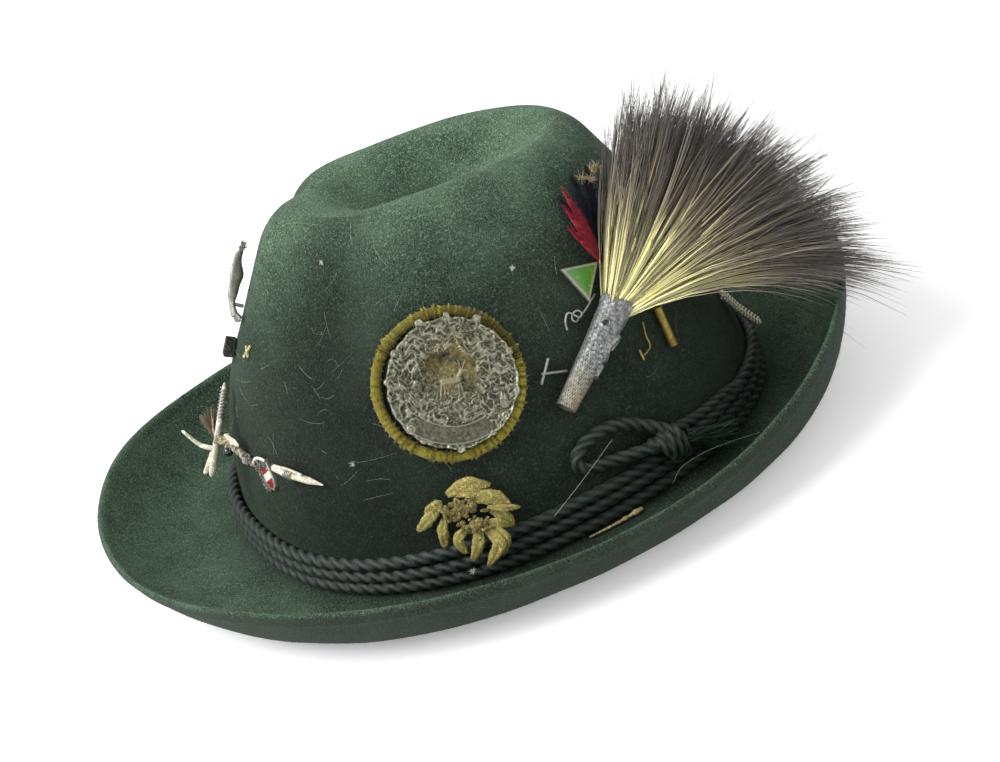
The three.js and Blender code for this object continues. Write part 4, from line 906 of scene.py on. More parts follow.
def tarnish_group():
    """Old metal: dark in the low places of a mask, blotched by noise, bright on the high ones."""
    tree, start, end = new_group("Old Metal", [
        ("Vector", "Vector", None), ("Scale", "Float", 400.0), ("Wear", "Float", 0.5),
        ("Bare", "Color", None), ("Tarnish", "Color", None),
    ], [("Color", "Color"), ("Roughness", "Float"), ("Height", "Float")])
    place, scale = start.outputs["Vector"], start.outputs["Scale"]
    blotch = add_noise(tree, place, scale, 5.0, 0.65)
    grain = add_noise(tree, place, add_math(tree, "MULTIPLY", scale, 5.0), 3.0, 0.6)
    blotched = add_range(tree, blotch, 0.3, 0.7, -0.22, 0.22)
    share = add_math(tree, "ADD", start.outputs["Wear"], blotched, clamp=True)
    colour = add_mix(tree, share, start.outputs["Tarnish"], start.outputs["Bare"])
    speck = add_range(tree, grain, 0.4, 0.62, 0.72, 1.08)
    tree.links.new(add_product(tree, colour, speck), end.inputs["Color"])
    tree.links.new(add_range(tree, share, 0.0, 1.0, 0.72, 0.36), end.inputs["Roughness"])
    height = add_math(tree, "ADD", grain, add_math(tree, "MULTIPLY", blotch, 0.6))
    tree.links.new(height, end.inputs["Height"])
    return tree


def thread_group():
    """Threads told apart by tone: the colour runs along each thread, and one is lighter than the next."""
    tree, start, end = new_group("Thread Tones", [
        ("UV", "Vector", None), ("Root", "Color", None), ("Tip", "Color", None), ("Spread", "Float", 0.6),
    ], [("Color", "Color")])
    parts = add_node(tree, "SeparateXYZ", {"Vector": start.outputs["UV"]})
    tone = add_node(tree, "TexWhiteNoise", {"W": parts.outputs["X"]}, noise_dimensions="1D").outputs["Value"]
    colour = add_mix(tree, parts.outputs["Y"], start.outputs["Root"], start.outputs["Tip"])
    half = add_math(tree, "MULTIPLY", start.outputs["Spread"], 0.5)
    low = add_math(tree, "SUBTRACT", 1.0, half)
    factor = add_math(tree, "ADD", low, add_math(tree, "MULTIPLY", tone, start.outputs["Spread"]))
    tree.links.new(add_product(tree, colour, factor), end.inputs["Color"])
    return tree


GROUPS = {"Matted Fibres": fibre_group, "Old Metal": tarnish_group, "Thread Tones": thread_group}


def add_group(tree, name, values):
    """Node of a group, which is built on its first use."""
    if name not in bpy.data.node_groups:
        GROUPS[name]()
    return add_node(tree, "Group", values, node_tree=bpy.data.node_groups[name])


def fibre_material(name, shade, light, scale, bump=0.0004, roughness=0.9, with_painted_light=False):
    """Matted fibre finish; with the flag set, its colour is multiplied by the mask of painted light and
    shade.
    """
    material, tree, shader = new_material(name, roughness, sheen_weight=0.15, sheen_roughness=0.5)
    shader.inputs["Sheen Tint"].default_value = (*[min(1.0, 2.5 * value + 0.1) for value in light], 1.0)
    shader.inputs["Specular IOR Level"].default_value = 0.2
    fibres = add_group(tree, "Matted Fibres", {"Vector": object_place(tree), "Scale": scale,
                                               "Shade": shade, "Light": light})
    feed_colour(tree, shader, fibres.outputs["Color"], with_painted_light)
    add_bump(tree, shader, fibres.outputs["Height"], 0.8, bump)
    return material


def metal_material(name, bare, tarnish, scale, wear=0.5, from_mask=False):
    """Old metal finish; wear follows the mask where from_mask is set."""
    material, tree, shader = new_material(name, 0.45, 0.85)
    metal = add_group(tree, "Old Metal", {"Vector": object_place(tree), "Scale": scale, "Bare": bare,
                                          "Tarnish": tarnish,
                                          "Wear": mask_value(tree) if from_mask else wear})
    tree.links.new(metal.outputs["Color"], shader.inputs["Base Color"])
    tree.links.new(metal.outputs["Roughness"], shader.inputs["Roughness"])
    add_bump(tree, shader, metal.outputs["Height"], 0.6, 0.00012)
    return material


def stain(material, colour, place, near, far, strength=0.75):
    """Blotched stain on a finish: full within a near distance of a place and gone at a far one."""
    tree = material.node_tree
    shader = next(node for node in tree.nodes if node.type == "BSDF_PRINCIPLED")
    plain = shader.inputs["Base Color"].links[0].from_socket
    away = add_node(tree, "VectorMath", {0: object_place(tree), 1: tuple((place + SHIFT) * MM)},
                    operation="DISTANCE").outputs["Value"]
    blotch = add_noise(tree, object_place(tree), 220.0, 4.0, 0.6)
    share = add_math(tree, "MULTIPLY", add_range(tree, away, near * MM, far * MM, strength, 0.0),
                     add_range(tree, blotch, 0.35, 0.6))
    tree.links.new(add_mix(tree, share, plain, colour), shader.inputs["Base Color"])


def thread_material(name, root, tip, spread=0.6, roughness=0.6, sheen=0.0, with_painted_light=False):
    """Finish of loose threads, hairs and barbs; with the flag set, its colour is multiplied by the mask of
    painted light and shade.
    """
    material, tree, shader = new_material(name, roughness, sheen_weight=sheen)
    shader.inputs["Specular IOR Level"].default_value = 0.25
    threads = add_group(tree, "Thread Tones", {"UV": surface_place(tree), "Root": root, "Tip": tip,
                                               "Spread": spread})
    feed_colour(tree, shader, threads.outputs["Color"], with_painted_light)
    return material


def settings(name):
    """A group of the scene's settings."""
    return getattr(bpy.context.scene, "hat_" + name)


def felt_rows(columns, top_rows, wall_rows, brim_rows):
    """Outer face of the felt from the dent's middle to the brim's edge, its normals and a factor of painted
    light and shade on its colour.

    The face is waved by slow noise and pressed in along a bell curve beside the edge. The factor is painted
    light that grows with the cube of the height on the wall, with painted shade in bell curves at the
    pinches; the top is drawn towards a painted light. Out over the brim it runs straight from painted shade
    at the foot to painted light, less in a bell curve beside the brush where its shadow is painted, with a
    bell curve more at the edge, a painted highlight together with the edge's wear.
    """
    angle = np.arange(columns) * 360.0 / columns
    top = np.linspace(0, 1, top_rows + 1)[1:, None]
    level = 1 - np.linspace(0, 1, wall_rows + 1)[1:, None] ** 1.7
    reach = np.linspace(0, 1, brim_rows + 1)[1:, None]
    face = np.concatenate([top_point(angle, top), wall_point(angle, level), brim_point(angle, reach)])
    around = np.roll(face, -1, 1) - np.roll(face, 1, 1)
    normal = unit(np.cross(np.gradient(face, axis=0), around))
    steps = np.linalg.norm(np.diff(face, axis=0), axis=-1)
    distance = np.concatenate([np.cumsum(steps[::-1], axis=0)[::-1], np.zeros((1, columns))])
    uneven = 0.45 * ripple(face, 0.05, 3) + 0.2 * ripple(face, 0.16, 5)
    groove = -GROOVE_DEPTH * bell(distance, GROOVE_PLACE, GROOVE_WIDTH)
    face = face + normal * (uneven + groove)[..., None]
    # Painted light and shade, which the mask carries onto the felt's colour
    climb = np.clip((face[..., 2] - PAINTED_LIGHT_START) / PAINTED_LIGHT_CLIMB, 0, 1)
    pinch_painted_shade = 1 - PAINTED_PINCH_SHADE * bell(folded(angle), PINCH_ANGLE, PAINTED_PINCH_SHADE_SPREAD)
    painted_light = (PAINTED_LIGHT_LOW + PAINTED_LIGHT_GAIN * climb ** 3) * pinch_painted_shade
    painted_light[:top_rows] = mix(painted_light[:top_rows], PAINTED_TOP_LIGHT, PAINTED_TOP_LIGHT_SHARE)
    # Painted shadow of the brush on the brim beside it
    near = bell(folded(angle), PAINTED_BRUSH_SHADOW_ANGLE, PAINTED_BRUSH_SHADOW_SPREAD) * (np.mod(angle, 360) < 180)
    brim_edge_painted_light = PAINTED_BRIM_EDGE_LIGHT - PAINTED_BRUSH_SHADOW * near
    painted_light[-brim_rows:] = mix(PAINTED_BRIM_FOOT_SHADE, brim_edge_painted_light, np.clip(reach * PAINTED_BRIM_LIGHT_SLOPE, 0, 1))
    # Painted highlight along the edge, together with the edge's wear
    painted_light = painted_light + EDGE_WEAR_AND_PAINTED_HIGHLIGHT * bell(distance, 0.0, EDGE_WEAR_AND_PAINTED_HIGHLIGHT_WIDTH)
    return face, normal, painted_light


class HAT_OT_felt(bpy.types.Operator):
    """Crown and brim of one felt shell with a rounded edge and a pressed line beside it."""
    bl_idname = "hat.felt"
    bl_label = "Felt body"

    def execute(self, context):
        own = settings("felt")
        face, normal, painted_light = felt_rows(*FELT_GRID)
        under = face - normal * FELT_WALL
        under[..., 2] = np.maximum(under[..., 2], 0.0)
        tangent = unit(face[-1] - face[-2])
        middle = (face[-1] + under[-1]) / 2
        half = np.linalg.norm(face[-1] - under[-1], axis=-1)[:, None] / 2
        upward = unit(face[-1] - under[-1])
        turn = np.radians(EDGE_ANGLES)[:, None, None]
        edge = middle + half * (upward * np.cos(turn) + tangent * np.sin(turn))
        points = np.concatenate([face, edge, under[::-1]])
        # Painted shade under the brim, eased round the edge into the face's painted light and shade
        below = np.full_like(painted_light, PAINTED_UNDER_SHADE)
        ease = np.linspace(1, 0, len(turn) + 2)[1:-1, None]
        mask = np.concatenate([painted_light, mix(below[-1], painted_light[-1], ease), below])
        shape = outward_faces(grid_shape(points, mask=mask))
        # Its colour is multiplied by the mask of painted light and shade
        finish = fibre_material("green_felt", own.shade, own.light, 2500.0, 0.0006, with_painted_light=True)
        make_piece("felt_shell", shape, finish, ["felt_body"])
        return {"FINISHED"}


class HAT_OT_nap(bpy.types.Operator):
    """Short loose fibres that stand a little off the felt."""
    bl_idname = "hat.nap"
    bl_label = "Felt nap"

    def execute(self, context):
        own = settings("felt")
        rng = np.random.default_rng(11)
        face, normal, painted_light = felt_rows(*NAP_GRID)
        brim = slice(NAP_GRID[1] + NAP_GRID[2], None)
        under = face[brim] - normal[brim] * FELT_WALL
        # Painted shade on the nap under the brim; each patch carries its painted light and shade, and its
        # fibres take it on
        below = np.full_like(painted_light[brim], PAINTED_UNDER_NAP_SHADE)
        patches = [(face, normal, painted_light), (under, -normal[brim], below)]
        roots, tips, masks = [], [], []
        for (grid, out, pale), part in zip(patches, NAP_SHARES):
            count = int(own.nap_count * part)
            first, last = grid[:-1], grid[1:]
            area = np.linalg.norm(np.cross(np.roll(first, -1, 1) - first, last - first), axis=-1)
            pick = rng.choice(area.size, count, p=(area / area.sum()).ravel())
            row, column = np.unravel_index(pick, area.shape)
            down, aside = rng.random((count, 1)), rng.random((count, 1))
            after = (column + 1) % grid.shape[1]
            point = mix(mix(grid[row, column], grid[row, after], aside),
                        mix(grid[row + 1, column], grid[row + 1, after], aside), down)
            away = out[row, column]
            flat = unit(np.cross(away, rng.normal(size=(count, 3))))
            length = own.nap_length / MM * rng.uniform(*NAP_LENGTHS, (count, 1))
            way = unit(flat + away * rng.uniform(*NAP_SLOPES, (count, 1)))
            roots.append(point - away * NAP_SINK)
            tips.append(point + way * length)
            masks.append(pale[row, column])
        pick = rng.integers(0, face.shape[1], FUZZ_COUNT)
        fuzz = mix(face[-1, pick], np.roll(face, -1, 1)[-1, pick], rng.random((FUZZ_COUNT, 1)))
        fuzz -= normal[-1, pick] * rng.uniform(0, FELT_WALL, (FUZZ_COUNT, 1))
        way = unit(unit(face[-1] - face[-2])[pick] + rng.normal(size=(FUZZ_COUNT, 3)) * FUZZ_SPREAD)
        roots.append(fuzz)
        tips.append(fuzz + way * rng.uniform(*FUZZ_LENGTHS, (FUZZ_COUNT, 1)))
        # Painted light on the fuzz at the brim's edge
        masks.append(np.full(FUZZ_COUNT, PAINTED_FUZZ_LIGHT))
        roots, tips, masks = np.concatenate(roots), np.concatenate(tips), np.concatenate(masks)
        keep = tips[:, 2] > NAP_FLOOR
        roots, tips, masks = roots[keep], tips[keep], masks[keep]
        shape = spikes(roots, tips, NAP_RADIUS, rng.random(len(roots)))
        shape["mask"] = np.repeat(masks, 4)
        # The nap's colour is multiplied by the mask of painted light and shade
        finish = thread_material("felt_fibres", own.light, own.nap, 0.9, 0.8, with_painted_light=True)
        make_piece("felt_nap", shape, finish)
        return {"FINISHED"}


def twisted_cord(path, outward, radius, pitch, closed=False, sides=24):
    """Three strands laid round each other: the outline of three touching circles, turned along the path."""
    length = run_length(np.concatenate([path, path[:1]]) if closed else path)
    total = length[-1]
    turns = max(1, round(total / pitch)) if closed else total / pitch
    length = length[:len(path)]
    around = full_turn(sides)
    phase = around[None] + 2 * np.pi * turns * length[:, None] / total
    off = np.mod(phase + np.pi / 3, 2 * np.pi / 3) - np.pi / 3
    chord = np.sqrt(np.maximum(STRAND_RADIUS ** 2 - (STRAND_PLACE * np.sin(off)) ** 2, 0.0))
    reach = STRAND_PLACE * np.cos(off) + chord
    size = radius * np.maximum(reach, CREASE_FLOOR)
    # The mask paints shade into the creases and light onto the tops of the strands
    mask = np.clip((reach - CREASE_SHADE_START) / CREASE_SHADE_SPAN, 0, 1) ** CREASE_SHADE_POWER
    return tube(path, outward, size, sides=sides, closed=closed, mask=mask,
                stretch=(1.0, total / (2 * np.pi * radius)))


def cord_material(own):
    """Twisted yarn: fine threads along the strands, with painted shade in the creases and painted light on
    the strands' tops.
    """
    name = "twisted_cord"
    if name in bpy.data.materials:
        return bpy.data.materials[name]
    material, tree, shader = new_material(name, 0.42, sheen_weight=0.08, sheen_roughness=0.4)
    shader.inputs["Specular IOR Level"].default_value = 0.5
    yarn = add_noise(tree, add_stretch(tree, surface_place(tree), (26.0, 2.2, 1.0)), 4.0, 3.0, 0.6)
    # The mask mixes painted shade in the creases with painted light on the strands
    ridge_light_share = mask_value(tree)
    share = add_math(tree, "MULTIPLY", ridge_light_share, add_range(tree, yarn, 0.36, 0.66, 0.4, 1.1))
    tree.links.new(add_mix(tree, share, own.shade, own.light), shader.inputs["Base Color"])
    add_bump(tree, shader, yarn, 0.7, 0.0003)
    return material


class HAT_OT_cords(bpy.types.Operator):
    """Three turns of twisted cord round the foot of the crown, and the bight that stands out of the knot."""
    bl_idname = "hat.cords"
    bl_label = "Cord turns"

    def execute(self, context):
        own = settings("cord")
        radius, pitch = own.radius / MM, own.pitch / MM
        finish = cord_material(own)
        angle = np.arange(TURN_POINTS) * 360.0 / TURN_POINTS
        outward = root_outward(angle)
        for turn, name in enumerate(("cord_lower", "cord_middle", "cord_upper")):
            wave = TURN_WAVE * np.sin(np.radians(angle) * (3 + turn) + turn)
            height = CORD_FOOT + turn * (2 * radius + SEAT_GAP) + wave
            level = (height - ROOT_LIFT) / (crest_height(angle) - ROOT_LIFT)
            path = wall_point(angle, level) + outward * (radius + SEAT_GAP + ROUND_EASE)
            shape = twisted_cord(path, outward, radius * TURN_THICKNESS, pitch, closed=True,
                                 sides=TURN_SIDES)
            make_piece(name + "_twist", shape, finish, [name])
        rows = np.array(CORD_IN + CORD_LOOP + CORD_OUT)
        rows[:, 2] += radius
        path = wall_curve(rows, LOOP_POINTS)
        loop = twisted_cord(path, wall_normal(93.0, 0.21), radius, pitch)
        rows = np.array(CORD_TAIL)
        rows[:, 2] += radius
        tail = twisted_cord(wall_curve(rows, TAIL_POINTS), wall_normal(112.0, 0.19), radius * TAIL_THICKNESS,
                            pitch)
        make_piece("cord_loop_twist", join([loop, tail]), finish, ["cord_loop"])
        return {"FINISHED"}


class HAT_OT_knot(bpy.types.Operator):
    """Knot of the cord, and its end opened into yarns."""
    bl_idname = "hat.knot"
    bl_label = "Knot and tassel"

    def execute(self, context):
        own = settings("cord")
        rng = np.random.default_rng(21)
        basis = wall_basis(KNOT_ANGLE, KNOT_LEVEL, KNOT_LIFT)
        half = KNOT_SIZE / 2
        arcs = []
        for tilt, aside, lift in KNOT_ARCS:
            turn = np.linspace(-KNOT_SWEEP, KNOT_SWEEP, 60) * np.pi
            lean = np.radians(tilt)
            along = half * 0.98 * np.sin(turn)
            local = vec(aside + along * np.sin(lean), along * np.cos(lean) - 2.4,
                        lift + 3.0 * np.cos(turn) - 1.2)
            arcs.append(twisted_cord(placed(local, basis), basis[1][0], KNOT_CORD, own.pitch / MM))
        make_piece("cord_knot_wraps", join(arcs), cord_material(own), ["cord_knot"])
        head = on_wall(KNOT_ANGLE + TASSEL_START - 1.0, KNOT_LEVEL - 0.03, KNOT_LIFT)
        ends = wall_path([(KNOT_ANGLE + TASSEL_START + turn, level, lift)
                          for turn, level, lift in TASSEL_ROWS])
        yarns, fibres = [], []
        for end, many in zip(ends, TASSEL_YARNS):
            for count, spread, store in ((many, YARN_SPREAD, yarns),
                                         (FIBRES_PER_YARN * many, FIBRE_SPREAD, fibres)):
                start = head + rng.normal(size=(count, 3)) * 1.1
                tip = end + rng.normal(size=(count, 3)) * spread
                tip = mix(start, tip, rng.uniform(0.62, 1.04, (count, 1)))
                sway = rng.normal(size=(count, 3)) * spread * 0.5
                share = np.linspace(0, 1, TASSEL_POINTS)[None, :, None]
                store.append(mix(start[:, None], tip[:, None], share)
                             + sway[:, None] * np.sin(np.pi * share) + rng.normal(size=(count, 3))[:, None]
                             * 0.35 * np.sin(7 * share + rng.uniform(0, 6, (count, 1, 1))))
        outward = wall_normal(KNOT_ANGLE, KNOT_LEVEL)
        taper = np.linspace(1, 0.55, TASSEL_POINTS)
        thick = strands(np.concatenate(yarns), YARN_RADIUS * taper, outward, sides=6)
        thin = strands(np.concatenate(fibres), FIBRE_RADIUS * taper, outward)
        finish = thread_material("frayed_yarn", scaled(own.light, 0.5), own.frayed, 1.0, 0.5)
        make_piece("cord_tassel_yarns", join([thick, thin]), finish, ["cord_tassel"])
        return {"FINISHED"}


def capsule(x, y, start, end, radius, height):
    """Height of a rounded bar in relief: a half circle over the distance from a line."""
    way = np.subtract(end, start)
    share = np.clip(((x - start[0]) * way[0] + (y - start[1]) * way[1]) / max(way @ way, 1e-9), 0, 1)
    distance = np.hypot(x - start[0] - share * way[0], y - start[1] - share * way[1])
    return height * half_circle(distance / radius)


# Bars of the stag in shares of the medal's radius: start, end, half thickness and height
STAG = [
    ((-0.14, 0.02), (0.08, 0.05), 0.06, 1.0),
    ((0.07, 0.06), (0.14, 0.19), 0.036, 0.95),
    ((0.14, 0.2), (0.22, 0.18), 0.026, 0.9),
    ((-0.16, -0.02), (-0.18, -0.2), 0.018, 0.8),
    ((-0.12, -0.03), (-0.11, -0.2), 0.017, 0.7),
    ((0.09, -0.02), (0.1, -0.2), 0.017, 0.8),
    ((0.12, -0.01), (0.17, -0.19), 0.017, 0.7),
    ((0.13, 0.22), (0.09, 0.34), 0.012, 0.8),
    ((0.11, 0.27), (0.05, 0.3), 0.01, 0.7),
    ((0.15, 0.22), (0.2, 0.34), 0.012, 0.8),
    ((0.17, 0.28), (0.24, 0.31), 0.01, 0.7),
]
PEAKS = [(-0.34, 0.24), (-0.02, 0.44), (0.26, 0.34), (0.44, 0.16)]
# Knobs and volutes of the medal's edge: angle in degrees, distance in shares of its radius, size in mm
KNOBS = [(118, 1.0, 1.5), (94, 1.0, 1.2), (68, 1.01, 1.7), (-84, 0.985, 1.5), (-134, 0.9, 2.6),
         (-33, 0.9, 2.4), (-118, 0.94, 1.2), (-52, 0.94, 1.2), (152, 0.95, 1.5), (28, 0.95, 1.5),
         (178, 0.95, 1.3), (-8, 0.95, 1.4)]


def ridges(x, y, scale, seed):
    """Curling raised lines: one minus the size of a noise whose place is pushed about by a slower noise."""
    place = vec(x, y, 0.0)
    push = vec(ripple(place, 0.5 * scale, seed), ripple(place, 0.5 * scale, seed + 1), 0.0)
    return 1 - np.clip(2.2 * np.abs(ripple(place + 1.6 * push, scale, seed + 2)), 0, 1)


def medal_relief(x, y, radius):
    """Height of the medal's face in shares of its relief: scrolls round a low picture with a bare ribbon."""
    u, v = x / radius, y / radius
    reach = np.hypot(u, v - 0.02)
    scrolls = 0.2 + 0.5 * ridges(x, y, 2.3, 301) + 0.3 * ridges(x, y, 4.2, 311)
    field = np.clip((0.54 + 0.14 * ripple(vec(x, y, 0.0), 0.5, 321) - reach) / 0.12, 0, 1)
    sky = np.max([top - 1.3 * np.abs(u - place) for place, top in PEAKS], axis=0)
    peaks = np.clip((sky - v) / 0.04, 0, 1) * (0.16 + 0.2 * ridges(x, y, 2.6, 331))
    ground = np.clip((-0.1 - v) / 0.05, 0, 1) * (0.25 + 0.45 * ridges(x, y, 2.8, 341))
    picture = np.maximum(peaks, ground) + 0.16 * ridges(x, y, 4.5, 351)
    for start, end, size, height in STAG:
        picture = np.maximum(picture, capsule(u, v, start, end, size, 0.8 * height))
    relief = mix(scrolls, picture, field)
    turn = np.degrees(np.arctan2(u, -v))
    band = np.abs(np.hypot(u, v - 0.2) - 0.98)
    ribbon = np.clip((0.13 - band) / 0.015, 0, 1) * np.clip((44 - np.abs(turn)) / 2, 0, 1)
    border = bell(band, 0.13, 0.016) * np.clip((46 - np.abs(turn)) / 2, 0, 1)
    relief = mix(relief, 0.36 + 0.05 * ripple(vec(x, y, 0.0), 2.2, 361), ribbon)
    return np.maximum(relief, 0.85 * border)


class HAT_OT_medal(bpy.types.Operator):
    """Cast medal with a scrolled rim and a raised picture of its own, on a ring of chenille."""
    bl_idname = "hat.medal"
    bl_label = "Medal"

    def execute(self, context):
        own = settings("medal")
        rng = np.random.default_rng(31)
        flat = wall_basis(MEDAL_ANGLE, MEDAL_LEVEL, 0.0)
        outward = flat[1][2]
        turn = full_turn(RING_POINTS)
        ring = placed(vec(np.cos(turn), np.sin(turn), 0.0) * CHENILLE_RADIUS, flat)
        lift = CHENILLE_THICKNESS / 2 + SEAT_GAP + 0.15
        centre = drop_on_wall(ring, outward) + outward * lift
        crest = ((centre - wall_point(MEDAL_ANGLE, MEDAL_LEVEL)) @ outward).max()
        basis = wall_basis(MEDAL_ANGLE, MEDAL_LEVEL, crest + CHENILLE_THICKNESS / 2 + SEAT_GAP, MEDAL_TURN)

        around = full_turn(MEDAL_COLUMNS)
        edge = MEDAL_RADIUS * (MEDAL_FIELD + 0.006 * np.sin(9 * around + 1) + 0.007 * np.sin(23 * around))
        for place, reach, size in KNOBS:
            away = np.degrees(np.abs(np.angle(np.exp(1j * (around - np.radians(place))))))
            bulge = reach * MEDAL_RADIUS + size * 0.55 * half_circle(away / (size * 2.2))
            edge = np.maximum(edge, np.where(away < size * 2.2, bulge, 0.0))
        radius = np.linspace(0.004, 1, MEDAL_ROWS)[:, None] ** 0.92
        edge = mix(MEDAL_FIELD * MEDAL_RADIUS, edge, radius ** 14)
        x, y = radius * edge * np.cos(around), radius * edge * np.sin(around)
        picture = medal_relief(x, y, MEDAL_RADIUS * 0.95) * own.relief / MM
        curl = np.zeros_like(x)
        for place, reach, size in KNOBS:
            way = np.array([np.cos(np.radians(place)), np.sin(np.radians(place))])
            spot = MEDAL_RADIUS * (reach - 0.02) * way
            away = np.hypot(x - spot[0], y - spot[1])
            twist = np.arctan2(y - spot[1], x - spot[0])
            scroll = 0.72 + 0.28 * np.sin(5.5 * away + twist)
            curl = np.maximum(curl, MEDAL_RIM_HEIGHT * half_circle(away / size) * scroll)
        inward = (1 - radius) * edge
        rim = 0.35 * bell(inward, 0.5, 0.4) * (1 + 0.5 * np.sin(60 * around))
        rough = 0.05 * ripple(vec(x, y, 0.0), 4.0, 7) + 0.04 * ripple(vec(x, y, 0.0), 7.0, 9)
        rounding = 0.5 * (1 - half_circle(np.clip(1 - inward / 0.5, 0, 1)))
        height = MEDAL_BASE + np.maximum(picture + rim, curl) + rough - rounding
        top = vec(x, y, height)
        side = [vec(x[-1], y[-1], level) for level in (1.2, 0.6)]
        side += [vec(x[-1] * share, y[-1] * share, 0.0) for share in (0.975, 0.5, 0.05)]
        points = np.concatenate([top, np.stack(side)])
        mask = np.concatenate([np.clip((height - MEDAL_BASE - 0.12) / 0.9, 0.05, 1),
                               np.full((len(side), MEDAL_COLUMNS), 0.3)])
        shape = outward_faces(grid_shape(placed(points + [1.0, 0.3, 0.0], basis), mask=mask))
        finish = metal_material("cast_pewter", own.bare, own.tarnish, 900.0, from_mask=True)
        stain(finish, own.stain, placed(np.array([2.0, 6.0, 2.0]), basis), 3.0, 13.0)
        make_piece("medal_cast", shape, finish, ["medal"])
        self.pile(own, centre, outward, rng)
        return {"FINISHED"}

    def pile(self, own, centre, outward, rng):
        """Ring of chenille: a slim core and tufts that stand out of it all round."""
        radial = unit(centre - centre.mean(axis=0))
        radial = unit(radial - outward * (radial @ outward)[:, None])
        core = tube(centre + radial * 0.7, outward, 1.9, 1.1, sides=12, closed=True)
        count, tufts = PILE_COUNT, PILE_TUFTS
        tuft = rng.integers(0, tufts, count)
        spot = np.arange(tufts) + rng.uniform(-0.4, 0.4, tufts)
        pick = (spot[tuft] + rng.normal(0, 0.17, count)) * len(centre) / tufts
        share = (pick % 1.0)[:, None]
        pick = pick.astype(int) % len(centre)
        after = (pick + 1) % len(centre)
        place = mix(centre[pick], centre[after], share)
        side = mix(radial[pick], radial[after], share)
        swing = rng.uniform(0, 2 * np.pi, (count, 1))
        along = np.cross(outward, side)
        lean = rng.normal(0.5, 0.5, tufts)[tuft][:, None]
        away = unit(side * np.cos(swing) + outward * np.abs(np.sin(swing)) * 0.62 + along * lean)
        roots = place + side * (np.cos(swing) * 1.3 + 0.7) + outward * np.abs(np.sin(swing)) * 0.7
        tips = (roots + away * rng.uniform(*PILE_LENGTHS, (count, 1))
                * rng.uniform(0.45, 1.15, tufts)[tuft][:, None])
        tone = np.where(rng.random(count) < 0.7, rng.random(tufts)[tuft], rng.random(count))
        threads = spikes(roots, tips, PILE_RADIUS, tone)
        finish = thread_material("chenille_pile", scaled(own.pile, 0.1), own.pile, 1.5, 0.85, 0.2)
        make_piece("medal_chenille_pile", join([core, threads]), finish, ["medal_chenille"])


def petal(points, outward, width, thickness, rng):
    """Woolly petal: a lens that swells and fades along a bent line, creased along it, with an uneven edge."""
    share = np.linspace(0, 1, PETAL_POINTS)
    path = smooth_path(points, PETAL_POINTS)
    swell = np.maximum(np.sin(np.pi * (0.1 + 0.86 * share)) ** 0.62, 0.16)
    around = full_turn(PETAL_SIDES)
    crease = 1 - 0.5 * bell(np.mod(around, np.pi), np.pi / 2, 0.3)
    wrinkle = 1 + 0.12 * np.sin(3 * around + 9 * share[:, None] + rng.uniform(0, 6)) \
        + 0.08 * np.sin(5 * around - 14 * share[:, None])
    return tube(path, outward, width / 2 * swell[:, None] * wrinkle,
                thickness / 2 * swell[:, None] * wrinkle * crease, sides=PETAL_SIDES)


class HAT_OT_flowers(bpy.types.Operator):
    """Two dried edelweiss heads with woolly petals and knobbly hearts, and a dry stalk."""
    bl_idname = "hat.flowers"
    bl_label = "Dried flowers"

    def execute(self, context):
        own = settings("flower")
        rng = np.random.default_rng(41)
        basis = wall_basis(*FLOWER_PLACE)
        outward = basis[1][2]
        petals = [petal(placed(np.array(row[:3]), basis), outward, row[3], PETAL_THICKNESS, rng)
                  for row in PETALS]
        knobs = []
        for centre, wide, tall, height, count in HEARTS:
            spread = rng.normal(size=(count, 2)) * 0.5
            rise = height * np.exp(-(spread ** 2).sum(axis=1)) + rng.uniform(-0.4, 0.6, count)
            spots = np.array(centre) + vec(spread[:, 0] * wide, spread[:, 1] * tall, rise)
            knobs.append(beads(placed(spots, basis), rng.uniform(0.5, 1.2, count), 0.8, outward, 4, 7))
            for spot in spots[::5]:
                bend = rng.normal(size=(3, 3)) * [1.3, 1.3, 0.5] + [0, 0, 0.5]
                knobs.append(petal(placed(spot + np.cumsum(bend, axis=0), basis), outward, 1.1, 0.7, rng))
        wool = join(petals)
        points = wool["points"]
        pick = rng.integers(0, len(points), FLUFF_COUNT)
        centre = points.mean(axis=0)
        away = unit(unit(points[pick] - centre) * 0.5 + rng.normal(size=(len(pick), 3)))
        roots = points[pick] + rng.normal(size=(len(pick), 3)) * 0.12
        tips = roots + away * rng.uniform(*FLUFF_LENGTHS, (len(pick), 1))
        fluff = spikes(roots, tips, FLUFF_RADIUS, rng.random(len(pick)))
        shade = scaled(own.wool, 0.42)
        petal_finish = fibre_material("petal_wool", shade, own.wool, 1500.0, 0.0005)
        make_piece("edelweiss_petals", wool, petal_finish, ["edelweiss"])
        fluff_finish = thread_material("petal_fluff", own.wool, scaled(own.wool, 1.3), 0.5)
        make_piece("edelweiss_fluff", fluff, fluff_finish)
        heart = fibre_material("flower_heart", scaled(own.heart, 0.3), own.heart, 1900.0)
        make_piece("edelweiss_hearts", join(knobs), heart)
        rows = np.array(STALK)
        path = brim_point(rows[:, 0], rows[:, 1]) + [0, 0, 1.4]
        path = smooth_path(path, STALK_POINTS)
        share = np.linspace(0, 1, STALK_POINTS)
        knots = 0.7 * bell(share, 0.88, 0.05) + 0.3 * bell(share, 0.66, 0.03)
        size = 0.9 * (0.35 + 0.55 * share + knots) * (1 + 0.08 * np.sin(40 * share))
        straw = fibre_material("dry_straw", scaled(own.straw, 0.4), own.straw, 1300.0)
        stalk = tube(path, UPWARD, size, size * 0.8, sides=14)
        make_piece("dry_stalk_straw", stalk, straw, ["dry_stalk"])
        return {"FINISHED"}


